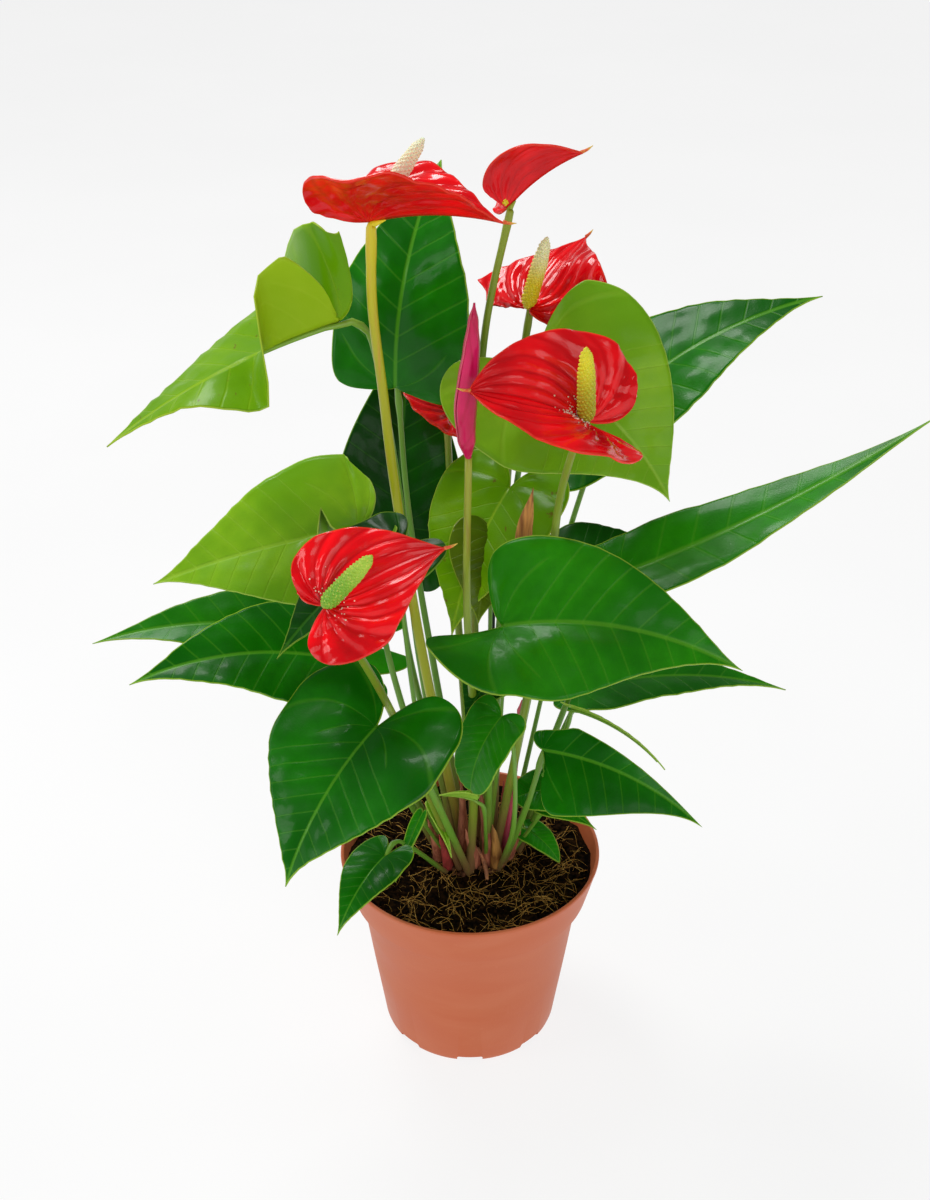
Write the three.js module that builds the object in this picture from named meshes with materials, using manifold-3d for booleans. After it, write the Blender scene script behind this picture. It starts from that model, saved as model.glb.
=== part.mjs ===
import * as THREE from "three";
import Module from "manifold-3d";
import { mergeVertices } from "three/addons/utils/BufferGeometryUtils.js";

// Potted anthurium in a nursery pot. Millimetres, +Z up, front faces -Y,
// origin on the table under the middle of the pot.

// ---- pot ----
const POT_HEIGHT = 97;
const POT_WALL = 1.8;
const RIM_RADIUS = 60;
const BAND_HEIGHT = 21;
const BAND_FOOT_RADIUS = 55;
const BODY_TOP_RADIUS = 51;
const BASE_RADIUS = 41;
const BASE_CORNER = 3;
const POT_SEGMENTS = 48;
const DRAIN_NOTCHES = 8;
const DRAIN_WIDTH = 12;
const DRAIN_HEIGHT = 3.5;

// ---- soil and crown ----
const SOIL_TOP = 89;
const SOIL_GAP = 0.4;
const SOIL_SEGMENTS = 36;
const CROWN_CENTRE = [0, 4];
const CROWN_RADIUS = 17;
const CROWN_HEIGHT = 7;
const FIT_GAP = 0.5;

// ---- plant ----
const BLADE_THICKNESS = 0.9;
const BLADE_ROWS = 8;
const BLADE_COLUMNS = 3;
const SMALL_BLADE_ROWS = 7;
const SMALL_BLADE_COLUMNS = 2;
const SPATHE_THICKNESS = 1.0;
const PETIOLE_FOOT_RADIUS = 2.0;
const PETIOLE_TOP_RADIUS = 1.2;
const STALK_FOOT_RADIUS = 2.2;
const STALK_TOP_RADIUS = 1.4;
const STALK_CLEARANCE = 0.4;
const STEM_SIDES = 6;
const ROD_STEPS = 12;
const SPADIX_RADIUS = 3.1;
const SPADIX_STANDOFF = 2.4;
const SPADIX_SIDES = 8;
const SPADIX_STEPS = 5;
const SPADIX_TAPER = [0.4, 1, 1, 1, 0.84, 0.4];
const SMALL_STEM_RADIUS = 0.9;
const WIDEST_AT = 0.55;
const SINUS_AT = 0.68;

const MERGE_GAP = 1e-4;

const OLD_GREEN = 0x1d6b22;
const DARK_GREEN = 0x124d1a;
const YOUNG_GREEN = 0x7fae1e;
const PALE_GREEN = 0x4f9a2c;
const STEM_GREEN = 0x6e9a2a;
const RED = 0xc4141c;
const PINK = 0xc8174a;
const SPADIX_YELLOW = 0xd8cf4a;
const SHEATH_BROWN = 0x9a6430;
const STAKE_BLACK = 0x18201c;
const CLAY = 0xb9694c;
const PEAT = 0x2a1c14;
const BARK = 0x7a4a32;

// ---- heart-shaped sheets: leaf blades and spathes ----
// at is the joint with the stem, tip the far end and width the half width, in mm.
// Shares of the half width and length shape the outline: wide is where the sheet is
// widest, lobe the bottom of a lobe, and lobes, lobesOut and halves scale each side.
// fold, roll, curl, lift and bends are degrees, arch is the rise as a share of the length.
const SHEET_DEFAULTS = {
  wide: 0.16,
  lobe: [0.5, 0.32],
  lobes: [1, 1],
  lobesOut: [1, 1],
  halves: [1, 1],
  shoulder: 0.05,
  pinch: [0, 0],
  barb: [0, 0],
  bends: [],
  arch: 0.08,
  lift: 15,
  roll: [0, 0],
  fold: [12, 12],
  foldTip: [6, 6],
  curl: [-14, -14],
};

// Leaves: foot is where the stem leaves the soil, via the points it passes.
const LEAVES = [
  { name: "upper_left_leaf", color: YOUNG_GREEN, at: [-50, -5, 357], tip: [-139, -30, 316],
    foot: [-16, 1], via: [[-22, 2, 200], [-28, 3, 270], [-37, 0, 340], [-43, -3, 355]],
    width: 36, wide: 0.13, arch: 0.05, lobe: [0.6, 0.12], lobes: [-0.1, 2.2], lobesOut: [0.15, 1.3],
    halves: [1, 1.1], pinch: [0.7, 0], barb: [0, 1],
    bends: [[-0.15, 80, 94], [0, 74, 84], [0.12, 80, 30], [0.22, 82, 8], [0.42, -38, 4],
      [0.66, -4, -2], [1, 0, 0]] },
  { name: "tall_back_leaf", color: OLD_GREEN, at: [-31, 30, 314], tip: [-12, 68, 398],
    foot: [-8, 13], via: [[-24, 22, 240]], width: 35, wide: 0.28, arch: 0.12, lobe: [0.6, 0.03],
    halves: [0.85, 1], shoulder: 0.2, roll: [0, 12] },
  { name: "shaded_back_leaf", color: DARK_GREEN, at: [-32, 46, 242], tip: [-26, 92, 322],
    foot: [-14, 20], via: [[-28, 38, 180]], width: 28, arch: 0.06, roll: [-10, -10] },
  { name: "left_glossy_leaf", color: PALE_GREEN, at: [-46, -14, 272], tip: [-128, -26, 253],
    foot: [-20, -8], via: [[-33, -11, 200], [-40, -13, 250]], width: 33, arch: 0.03,
    lobe: [0.5, 0.2], lift: 40, roll: [42, 32],
    bends: [[-0.2, 138, 10], [0.08, 118, 10], [0.3, 14, 10], [1, 4, 6]] },
  { name: "low_left_back_leaf", color: OLD_GREEN, at: [-60, 20, 200], tip: [-163, 2, 207],
    foot: [-25, 12], via: [[-46, 18, 160]], width: 21, arch: 0.08, roll: [25, 25] },
  { name: "low_left_leaf", color: OLD_GREEN, at: [-54, -18, 211], tip: [-138, -45, 217],
    foot: [-26, 0], via: [[-42, -10, 165]], width: 27, arch: 0.1, roll: [25, 25],
    lobe: [0.5, 0.2] },
  { name: "front_heart_leaf", color: OLD_GREEN, at: [-37, -75, 217], tip: [-71, -115, 171],
    foot: [-6, -22], via: [[-20, -50, 175]], width: 40, arch: 0.1 },
  { name: "right_front_leaf", color: OLD_GREEN, at: [12, -60, 254], tip: [102, -82, 248],
    foot: [6, -13], via: [[9, -29, 190]], width: 34, arch: 0.1, roll: [-48, -35],
    lobe: [0.5, 0.28], lobes: [0.15, 1],
    bends: [[-0.3, 12, 70], [0.05, 12, 34], [0.35, 12, 10], [1, 6, 6]] },
  { name: "right_upper_leaf", color: OLD_GREEN, at: [58, 55, 290], tip: [150, 70, 339],
    foot: [15, 27], via: [[38, 46, 210]], width: 32, arch: 0.08, roll: [-20, -20] },
  { name: "right_broad_leaf", color: PALE_GREEN, at: [27, 10, 332], tip: [79, -18, 286],
    foot: [9, 10], via: [[14, 16, 220], [22, 14, 300]], width: 43, arch: 0.1, lobes: [0.25, 1.1],
    roll: [-45, -45] },
  { name: "long_right_leaf", color: OLD_GREEN, at: [62, -8, 247], tip: [185, 0, 315],
    foot: [23, 13], via: [[47, 3, 190]], width: 18, arch: -0.03, roll: [-20, -10],
    lobe: [0.5, 0.16], fold: [20, 10] },
  { name: "middle_young_leaf", color: YOUNG_GREEN, at: [16, 8, 279], tip: [-8, -26, 228],
    foot: [3, 4], via: [[11, 7, 190]], width: 30, arch: 0.1, lobe: [0.5, 0.2] },
  { name: "low_right_back_leaf", color: OLD_GREEN, at: [50, 22, 170], tip: [144, 26, 167],
    foot: [28, 16], via: [[38, 20, 135]], width: 19, arch: 0.08, roll: [-5, -5],
    lobe: [0.45, 0.14] },
  { name: "low_right_leaf", color: OLD_GREEN, at: [31, -25, 170], tip: [98, -50, 148],
    foot: [17, -9], via: [[25, -19, 135]], width: 20, arch: 0.1, roll: [-44, -38],
    lobe: [0.45, 0.12], lobes: [0.6, -0.3], halves: [0.6, 1.35],
    pinch: [0.9, 0] },
];

// Smaller leaves, each one piece with its own short stem.
const SMALL_LEAVES = [
  { name: "behind_flower_leaf", color: DARK_GREEN, at: [-29, -38, 276], tip: [-73, -80, 252],
    foot: [-14, -9], via: [[-21, -18, 170], [-27, -33, 240]], width: 21, arch: 0.08,
    roll: [10, 10], lobe: [0.5, 0.22] },
  { name: "right_shaded_leaf", color: DARK_GREEN, at: [42, 28, 226], tip: [92, 40, 229],
    foot: [22, 22], via: [[34, 27, 170]], width: 22, arch: 0.1, roll: [-25, -25],
    lobe: [0.5, 0.18] },
  { name: "slender_right_leaf", color: OLD_GREEN, at: [45, -3, 177], tip: [85, -20, 156],
    foot: [30, 8], via: [[38, 3, 140]], width: 7, arch: 0.1, roll: [38, 38], lobe: [0.5, 0.12] },
  { name: "round_middle_leaf", color: OLD_GREEN, at: [12.5, -46, 202], tip: [0, -56, 172],
    foot: [14, -17], via: [[19, -27, 130], [18, -40, 180]], width: 15, arch: 0.12,
    lobe: [0.6, 0.15], shoulder: 0.85 },
  { name: "rim_leaf", color: OLD_GREEN, at: [-37, -46, 129], tip: [-56, -77, 112],
    foot: [-22, -20], via: [[-27, -28, 120], [-33, -38, 130]], width: 13, arch: 0.12,
    lobe: [0.5, 0.25] },
  { name: "soil_leaf", color: OLD_GREEN, at: [26, 0, 107], tip: [41, -13, 98],
    foot: [22, 4], via: [[23.5, 2, 105]], width: 8, arch: 0.12, lobe: [0.5, 0.2], shoulder: 0.35 },
];

// Flowers: a red spathe, its spadix and its stalk.
const FLOWERS = [
  { name: "top_left", at: [-37, -14, 399], tip: [12, -25, 402], foot: [-9, 1],
    via: [[-20, -2, 200], [-30, -6, 282], [-34, -11, 330], [-37, -13, 366]], width: 33,
    lift: 5, lobes: [0.6, 0.95], bends: [[-0.3, 24, 62], [0.1, 28, 50], [0.6, 26, 50], [1, 14, 40]],
    spadix: [-17, -10, 428] },
  { name: "top_right", at: [14, 27, 391], tip: [42, 22, 414], foot: [2, 18],
    via: [[2, 30, 200], [3, 36, 285], [6, 30, 340]], width: 17, wide: 0.36, shoulder: 0.3,
    lobe: [0.4, 0.2], lobes: [1, 0.1], fold: [20, 82], foldTip: [10, 70], spadix: [13, 31, 407],
    spadixRadius: 2 },
  { name: "right_back", at: [23.5, 42, 344], tip: [49, 74, 364], foot: [11, 18],
    via: [[14, 30, 200], [17, 39, 285]], width: 32, lobes: [0.1, 0.2], halves: [1.1, 1.1],
    pinch: [1, 0], bends: [[-0.2, -2, -14], [0.15, -2, 6], [0.5, 0, 26], [1, 0, 12]],
    spadix: [30, 30, 378] },
  { name: "right_front", at: [41, -55, 338], tip: [-1, -64, 354], foot: [11, -4],
    via: [[22, -20, 180], [31, -33, 260], [34, -40, 300]], width: 31, roll: [38, 38],
    fold: [46, 30], foldTip: [20, 14], shoulder: 0.35, spadix: [39, -74, 374] },
  { name: "left_front", at: [-52, -96, 285], tip: [-9, -88, 304], foot: [-12, -16],
    via: [[-31, -64, 216]], width: 25, roll: [-45, -45], lobe: [0.45, 0.24], lobes: [0.6, 1],
    halves: [0.92, 1], shoulder: 0.15, fold: [8, 8], spadix: [-34, -112, 314] },
  { name: "back_dark", at: [-9, 40, 299], tip: [-36, 54, 313], foot: [-2, 22],
    via: [[-6, 34, 210]], width: 17, spadix: [-14, 50, 320] },
];

// The furled young flower, a bud low in the crown, the stake and a dry papery sheath.
const FURLED_RADII = [0.8, 3.6, 4.4, 3.9, 3.2, 2.2, 0.5];
const FURLED_SIDES = 10;
const FURLED_PATH = [[-1, -50, 319], [-2, -50, 340], [0, -48, 362], [1, -47, 380]];
const FURLED_STALK_PATH = [[0, -8, 97], [2, -24, 170], [-1.5, -43, 252], [-1, -50, 318]];
const BUD_RADII = [1.5, 1.2, 1.1, 1.0, 1.0, 2.2, 0.4];
const BUD_PATH = [[15, 0, 93], [19, -4, 130], [22, -6, 172], [22.5, -6, 183]];
const STAKE_RADIUS = 1.6;
const STAKE_SIDES = 10;
const STAKE_PATH = [[9, 27, 90.8], [10, 28, 300]];
const SHEATH_THICKNESS = 0.8;
const DRY_SHEATH = {
  at: [22.5, -31, 274], tip: [24, -29, 298], width: 5, arch: 0.03,
  fold: [30, 30], foldTip: [20, 20], curl: [30, 30], lobe: [0.5, 0.1],
};

const vec = (p) => new THREE.Vector3(p[0], p[1], p[2]);
const lerp = (a, b, t) => a + (b - a) * t;
const clamp01 = (t) => Math.min(1, Math.max(0, t));
const radians = (degrees) => (degrees * Math.PI) / 180;

const group = new THREE.Group();
group.name = "potted_anthurium";

function addPart(name, geometry, color, roughness) {
  const material = new THREE.MeshStandardMaterial({ color, roughness, metalness: 0 });
  material.name = `${name}_finish`;
  const mesh = new THREE.Mesh(geometry, material);
  mesh.name = name;
  group.add(mesh);
}

function indexedGeometry(positions, triangles) {
  const geometry = new THREE.BufferGeometry();
  geometry.setAttribute("position", new THREE.Float32BufferAttribute(positions.flat(), 3));
  geometry.setIndex(triangles.flat());
  geometry.computeVertexNormals();
  return geometry;
}

// ---- round stems, spadices and buds: a tube along a curve, tapered from ring to ring ----
function sweep(points, radii, sides, steps) {
  const path = new THREE.CatmullRomCurve3(points.map(vec), false, "centripetal");
  const section = new THREE.Shape();
  for (let j = 0; j < sides; j += 1) {
    const angle = (j / sides) * 2 * Math.PI;
    section[j ? "lineTo" : "moveTo"](Math.cos(angle), Math.sin(angle));
  }
  section.closePath();
  const tube = new THREE.ExtrudeGeometry(section, { steps, extrudePath: path, bevelEnabled: false });
  const middles = path.getSpacedPoints(steps);
  const position = tube.getAttribute("position");
  for (let i = 0; i < position.count; i += 1) {
    const point = new THREE.Vector3().fromBufferAttribute(position, i);
    const gaps = middles.map((middle) => middle.distanceTo(point));
    const ring = gaps.indexOf(Math.min(...gaps));
    const place = (ring / steps) * (radii.length - 1);
    const k = Math.min(radii.length - 2, Math.floor(place));
    point.sub(middles[ring]).multiplyScalar(lerp(radii[k], radii[k + 1], place - k)).add(middles[ring]);
    position.setXYZ(i, point.x, point.y, point.z);
  }
  tube.deleteAttribute("uv");
  tube.deleteAttribute("normal");
  const geometry = mergeVertices(tube, MERGE_GAP);
  geometry.computeVertexNormals();
  return geometry;
}

// ---- heart-shaped sheets: leaf blades and spathes ----
const cubic = (...points) => new THREE.CubicBezierCurve(...points.map((p) => new THREE.Vector2(...p)));

function lobeEnd(spec, side) {
  return [spec.lobe[0] * spec.lobesOut[side], -spec.lobe[1] * spec.lobes[side]];
}

// Flat half outline in shares of half width (x) and of length (y), from the tip
// to the bottom of the lobe. The widest point is at WIDEST_AT.
function marginPoint(spec, t, side) {
  const { wide, shoulder } = spec;
  const waist = 1 - 0.45 * spec.pinch[side];
  const low = lobeEnd(spec, side);
  if (t < WIDEST_AT) {
    const rise = (1 - wide) * 0.4;
    const upper = cubic([0, 1], [shoulder, 0.78 + shoulder * 0.3], [waist - 0.08, wide + rise], [1, wide]);
    return upper.getPoint(t / WIDEST_AT);
  }
  const barb = spec.barb[side];
  const drop = (wide - low[1]) * 0.6;
  const turn = [low[0] + 0.35 * (1 - barb), low[1] + 0.15 * barb];
  return cubic([1, wide], [waist, wide - drop], turn, low).getPoint((t - WIDEST_AT) / (1 - WIDEST_AT));
}

// The midrib down to SINUS_AT, then the edge between the lobes.
function innerPoint(spec, t, side) {
  if (t <= SINUS_AT) {
    return new THREE.Vector2(0, 1 - t / SINUS_AT);
  }
  const low = lobeEnd(spec, side);
  const turn = [Math.max(0, low[0] - 0.25), low[1] + 0.15 * spec.barb[side]];
  return cubic([0, 0], [0.03, 0.35 * low[1]], turn, low).getPoint((t - SINUS_AT) / (1 - SINUS_AT));
}

// Degrees that one half is folded up, at a share of the length. A bend is
// [share, left fold, right fold]; between two bends the fold eases over.
function foldAt(spec, share, side) {
  if (!spec.bends.length) {
    return lerp(spec.fold[side], spec.foldTip[side], clamp01(share));
  }
  let k = 0;
  while (k < spec.bends.length - 2 && spec.bends[k + 1][0] < share) {
    k += 1;
  }
  const [low, high] = [spec.bends[k], spec.bends[k + 1]];
  return lerp(low[1 + side], high[1 + side], THREE.MathUtils.smoothstep(share, low[0], high[0]));
}

function sheetFrame(spec) {
  const at = vec(spec.at);
  const along = vec(spec.tip).sub(at);
  const length = along.length();
  along.normalize();
  const across = new THREE.Vector3().crossVectors(along, new THREE.Vector3(0, 0, 1)).normalize();
  const up = new THREE.Vector3().crossVectors(across, along);
  return { at, length, along, across, up };
}

// Bend a flat point (x across, y along, mm) into the arched, folded, rolled blade.
function bendPoint(spec, frame, x, y) {
  const { length } = frame;
  const arch = Math.max(0.004, Math.abs(spec.arch)) * Math.sign(spec.arch || 1);
  const sag = arch * length;
  const radius = (length * length / 4 + sag * sag) / (2 * sag);
  const half = Math.asin(length / 2 / radius);
  const share = y / length;
  let angle = lerp(-half, half, share);
  let alongMid = length / 2 + radius * Math.sin(angle);
  let upMid = radius * (Math.cos(angle) - Math.cos(half));
  if (y < 0) {
    const back = -y / (spec.lobe[1] * length);
    const lift = radians(spec.lift);
    const mean = -half + lift * back * 0.5;
    angle = -half + lift * back;
    alongMid = y * Math.cos(mean);
    upMid = -y * Math.sin(mean);
  }
  const side = x < 0 ? 0 : 1;
  const fold = radians(foldAt(spec, share, side));
  const curl = radians(spec.curl[side]);
  const reach = Math.abs(x);
  const mean = fold + (curl * reach) / (2 * spec.width);
  const sideways = Math.sign(x) * reach * Math.cos(mean);
  const height = reach * Math.sin(mean);
  const roll = radians(lerp(spec.roll[0], spec.roll[1], clamp01(share)));
  const normal = frame.along.clone().multiplyScalar(Math.sin(angle));
  normal.addScaledVector(frame.up, Math.cos(angle));
  const point = frame.at.clone();
  point.addScaledVector(frame.along, alongMid);
  point.addScaledVector(frame.up, upMid);
  point.addScaledVector(frame.across, sideways * Math.cos(roll) - height * Math.sin(roll));
  point.addScaledVector(normal, sideways * Math.sin(roll) + height * Math.cos(roll));
  return point;
}

function sheetSurface(spec, rows, columns) {
  const frame = sheetFrame(spec);
  const positions = [];
  const lookup = new Map();
  const triangles = [];
  const vertexAt = (x, y) => {
    const key = `${Math.round(x * 1e4)},${Math.round(y * 1e4)}`;
    if (!lookup.has(key)) {
      lookup.set(key, positions.length);
      positions.push(bendPoint(spec, frame, x, y));
    }
    return lookup.get(key);
  };
  const addTriangle = (a, b, c) => {
    if (a !== b && b !== c && c !== a) {
      triangles.push([a, b, c]);
    }
  };
  for (const side of [-1, 1]) {
    const cell = (i, j) => {
      const t = i / rows;
      const s = j / columns;
      const half = side < 0 ? 0 : 1;
      const flat = innerPoint(spec, t, half).lerp(marginPoint(spec, t, half), s);
      const x = flat.x * spec.width * spec.halves[half];
      return vertexAt(side * x, flat.y * frame.length);
    };
    for (let i = 0; i < rows; i += 1) {
      for (let j = 0; j < columns; j += 1) {
        const quad = [cell(i, j), cell(i + 1, j), cell(i + 1, j + 1), cell(i, j + 1)];
        if (side < 0) {
          quad.reverse();
        }
        addTriangle(quad[0], quad[1], quad[2]);
        addTriangle(quad[0], quad[2], quad[3]);
      }
    }
  }
  return { positions, triangles, frame };
}

function thicken(surface, thickness) {
  const count = surface.positions.length;
  const normals = surface.positions.map(() => new THREE.Vector3());
  const edges = new Map();
  for (const [a, b, c] of surface.triangles) {
    const ab = surface.positions[b].clone().sub(surface.positions[a]);
    const ac = surface.positions[c].clone().sub(surface.positions[a]);
    const normal = ab.cross(ac);
    for (const k of [a, b, c]) {
      normals[k].add(normal);
    }
    for (const [p, q] of [[a, b], [b, c], [c, a]]) {
      if (edges.has(`${q},${p}`)) {
        edges.delete(`${q},${p}`);
      } else {
        edges.set(`${p},${q}`, [p, q]);
      }
    }
  }
  const positions = surface.positions.map((p) => p.toArray());
  surface.positions.forEach((p, k) => {
    const lower = p.clone().addScaledVector(normals[k].normalize(), -thickness);
    positions.push(lower.toArray());
  });
  const triangles = surface.triangles.map((t) => [...t]);
  for (const [a, b, c] of surface.triangles) {
    triangles.push([a + count, c + count, b + count]);
  }
  for (const [p, q] of edges.values()) {
    triangles.push([p, p + count, q + count]);
    triangles.push([p, q + count, q]);
  }
  return indexedGeometry(positions, triangles);
}

function heart(spec, rows, columns, thickness) {
  const full = { ...SHEET_DEFAULTS, ...spec };
  return thicken(sheetSurface(full, rows, columns), thickness);
}

function normalAt(spec) {
  const full = { ...SHEET_DEFAULTS, ...spec };
  const frame = sheetFrame(full);
  const right = bendPoint(full, frame, 2, 4).sub(bendPoint(full, frame, -2, 4));
  const ahead = bendPoint(full, frame, 0, 6).sub(frame.at);
  return right.cross(ahead).normalize();
}

function hump(x, y) {
  const r = Math.hypot(x - CROWN_CENTRE[0], y - CROWN_CENTRE[1]);
  const rough = clamp01((r - CROWN_RADIUS - 2) / 8);
  return rough * (1.2 * Math.sin(x * 0.21 + 1) * Math.cos(y * 0.17) + 0.5 * Math.sin(x * 0.4 - y * 0.3));
}

function groundHeight(x, y) {
  const r = Math.hypot(x - CROWN_CENTRE[0], y - CROWN_CENTRE[1]);
  if (r < CROWN_RADIUS + 2.5) {
    const dome = Math.max(0, 1 - (r / CROWN_RADIUS) ** 2);
    return SOIL_TOP + FIT_GAP + CROWN_HEIGHT * dome + 0.5;
  }
  return SOIL_TOP + hump(x, y) + 0.5;
}

function footHeight(x, y, radius) {
  let height = groundHeight(x, y);
  for (let k = 0; k < 8; k += 1) {
    const angle = (k * Math.PI) / 4;
    height = Math.max(height, groundHeight(x + radius * Math.cos(angle), y + radius * Math.sin(angle)));
  }
  return height + FIT_GAP;
}

function stem(spec, thickness, radii, normal) {
  const [x, y] = spec.foot;
  const foot = [x, y, footHeight(x, y, radii[0] + 0.4)];
  const end = vec(spec.at).addScaledVector(normal, -(thickness + STALK_CLEARANCE + radii[1]));
  const via = spec.via || [];
  return sweep([foot, ...via, end.toArray()], radii, STEM_SIDES, 4 + via.length * 2);
}

for (const leaf of LEAVES) {
  addPart(leaf.name, heart(leaf, BLADE_ROWS, BLADE_COLUMNS, BLADE_THICKNESS), leaf.color, 0.4);
  const radii = [PETIOLE_FOOT_RADIUS, PETIOLE_TOP_RADIUS];
  addPart(`${leaf.name}_stem`, stem(leaf, BLADE_THICKNESS, radii, normalAt(leaf)), STEM_GREEN, 0.5);
}

// ---- flowers ----
for (const flower of FLOWERS) {
  const spec = { wide: 0.2, lobe: [0.45, 0.4], arch: 0.06, ...flower };
  const normal = normalAt(spec);
  addPart(`${flower.name}_spathe`, heart(spec, BLADE_ROWS, BLADE_COLUMNS, SPATHE_THICKNESS), RED, 0.25);
  const base = vec(flower.at).addScaledVector(normal, SPADIX_STANDOFF);
  const thick = flower.spadixRadius || SPADIX_RADIUS;
  const radii = SPADIX_TAPER.map((share) => share * thick);
  const spadix = sweep([base.toArray(), flower.spadix], radii, SPADIX_SIDES, SPADIX_STEPS);
  addPart(`${flower.name}_spadix`, spadix, SPADIX_YELLOW, 0.6);
  const stalkRadii = [STALK_FOOT_RADIUS, STALK_TOP_RADIUS];
  addPart(`${flower.name}_stalk`, stem(spec, SPATHE_THICKNESS, stalkRadii, normal), STEM_GREEN, 0.5);
}

// ---- lathe and solid helpers ----
function lathe(profile, segments) {
  const points = profile.map((p) => new THREE.Vector2(p[0], p[1]));
  const geometry = new THREE.LatheGeometry(points, segments);
  geometry.rotateX(Math.PI / 2);
  geometry.deleteAttribute("uv");
  geometry.deleteAttribute("normal");
  return mergeVertices(geometry, MERGE_GAP);
}

function toSolid(wasm, geometry) {
  const clean = new THREE.BufferGeometry();
  clean.setAttribute("position", geometry.getAttribute("position").clone());
  clean.setIndex(geometry.getIndex());
  const merged = mergeVertices(clean, MERGE_GAP);
  return new wasm.Manifold(new wasm.Mesh({
    numProp: 3,
    vertProperties: new Float32Array(merged.getAttribute("position").array),
    triVerts: new Uint32Array(merged.getIndex().array),
  }));
}

function fromSolid(solid) {
  const mesh = solid.getMesh();
  const geometry = new THREE.BufferGeometry();
  geometry.setAttribute("position", new THREE.Float32BufferAttribute(mesh.vertProperties, 3));
  geometry.setIndex([...mesh.triVerts]);
  geometry.computeVertexNormals();
  return geometry;
}

const wasm = await Module();
wasm.setup();

for (const leaf of SMALL_LEAVES) {
  const blade = toSolid(wasm, heart(leaf, SMALL_BLADE_ROWS, SMALL_BLADE_COLUMNS, BLADE_THICKNESS));
  const normal = normalAt(leaf);
  const radii = [SMALL_STEM_RADIUS * 1.4, SMALL_STEM_RADIUS];
  const petiole = toSolid(wasm, stem(leaf, -SMALL_STEM_RADIUS - 0.2, radii, normal));
  addPart(leaf.name, fromSolid(blade.add(petiole)), leaf.color, 0.4);
}

// ---- furled young spathe on its own stalk, and a bud low in the crown ----
addPart("furled_spathe", sweep(FURLED_PATH, FURLED_RADII, FURLED_SIDES, ROD_STEPS), PINK, 0.3);
const furledStalkRadii = [STALK_FOOT_RADIUS, STALK_TOP_RADIUS];
const furledStalk = sweep(FURLED_STALK_PATH, furledStalkRadii, STEM_SIDES, ROD_STEPS);
addPart("furled_spathe_stalk", furledStalk, STEM_GREEN, 0.5);
addPart("low_bud", sweep(BUD_PATH, BUD_RADII, STEM_SIDES, ROD_STEPS), PINK, 0.4);

// ---- dry papery sheath and the thin black support stake ----
addPart("dry_sheath", heart(DRY_SHEATH, 6, 2, SHEATH_THICKNESS), SHEATH_BROWN, 0.8);
addPart("support_stake", sweep(STAKE_PATH, [STAKE_RADIUS, STAKE_RADIUS], STAKE_SIDES, 4), STAKE_BLACK, 0.5);

// ---- pot ----
const bandFoot = POT_HEIGHT - BAND_HEIGHT;
const potProfile = [
  [0, 0],
  [BASE_RADIUS - BASE_CORNER, 0],
  [BASE_RADIUS - 0.9, 0.9],
  [BASE_RADIUS, BASE_CORNER],
  [BODY_TOP_RADIUS, bandFoot - 1],
  [BAND_FOOT_RADIUS - 0.8, bandFoot],
  [BAND_FOOT_RADIUS, bandFoot + 1],
  [RIM_RADIUS - 0.3, POT_HEIGHT - 1.6],
  [RIM_RADIUS, POT_HEIGHT - 0.6],
  [RIM_RADIUS - 0.8, POT_HEIGHT],
  [RIM_RADIUS - POT_WALL, POT_HEIGHT - 0.6],
  [BAND_FOOT_RADIUS - POT_WALL, bandFoot + 1.6],
  [BODY_TOP_RADIUS - POT_WALL, bandFoot],
  [BASE_RADIUS - POT_WALL, 4],
  [BASE_RADIUS - POT_WALL - 2, 2],
  [0, 2],
];
let pot = toSolid(wasm, lathe(potProfile, POT_SEGMENTS));
for (let i = 0; i < DRAIN_NOTCHES; i += 1) {
  const cutter = new THREE.BoxGeometry(DRAIN_WIDTH, 9, DRAIN_HEIGHT * 2);
  cutter.translate(0, -BASE_RADIUS, 0);
  cutter.rotateZ((i / DRAIN_NOTCHES) * 2 * Math.PI);
  pot = pot.subtract(toSolid(wasm, cutter));
}
addPart("pot", fromSolid(pot), CLAY, 0.55);

// ---- potting soil filling the pot, with a lumpy top ----
function soilGeometry() {
  const gap = POT_WALL + SOIL_GAP;
  const wallAtTop = lerp(BAND_FOOT_RADIUS, RIM_RADIUS, (SOIL_TOP - bandFoot) / BAND_HEIGHT) - gap - 0.3;
  const profile = [
    [0, 2 + SOIL_GAP],
    [BASE_RADIUS - gap - 2.4, 2 + SOIL_GAP],
    [BASE_RADIUS - gap - 0.4, 4.4],
    [BODY_TOP_RADIUS - gap - 0.4, bandFoot],
    [BAND_FOOT_RADIUS - gap - 0.6, bandFoot + 2.4],
    [wallAtTop, SOIL_TOP - 1],
    [47, SOIL_TOP],
    [40, SOIL_TOP],
    [33, SOIL_TOP],
    [26, SOIL_TOP],
    [14, SOIL_TOP],
    [0, SOIL_TOP],
  ];
  const geometry = lathe(profile, SOIL_SEGMENTS);
  const position = geometry.getAttribute("position");
  for (let i = 0; i < position.count; i += 1) {
    const x = position.getX(i);
    const y = position.getY(i);
    if (position.getZ(i) > SOIL_TOP - 0.5) {
      position.setZ(i, SOIL_TOP + hump(x, y));
    }
  }
  geometry.computeVertexNormals();
  return geometry;
}
addPart("potting_soil", soilGeometry(), PEAT, 0.95);

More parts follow.
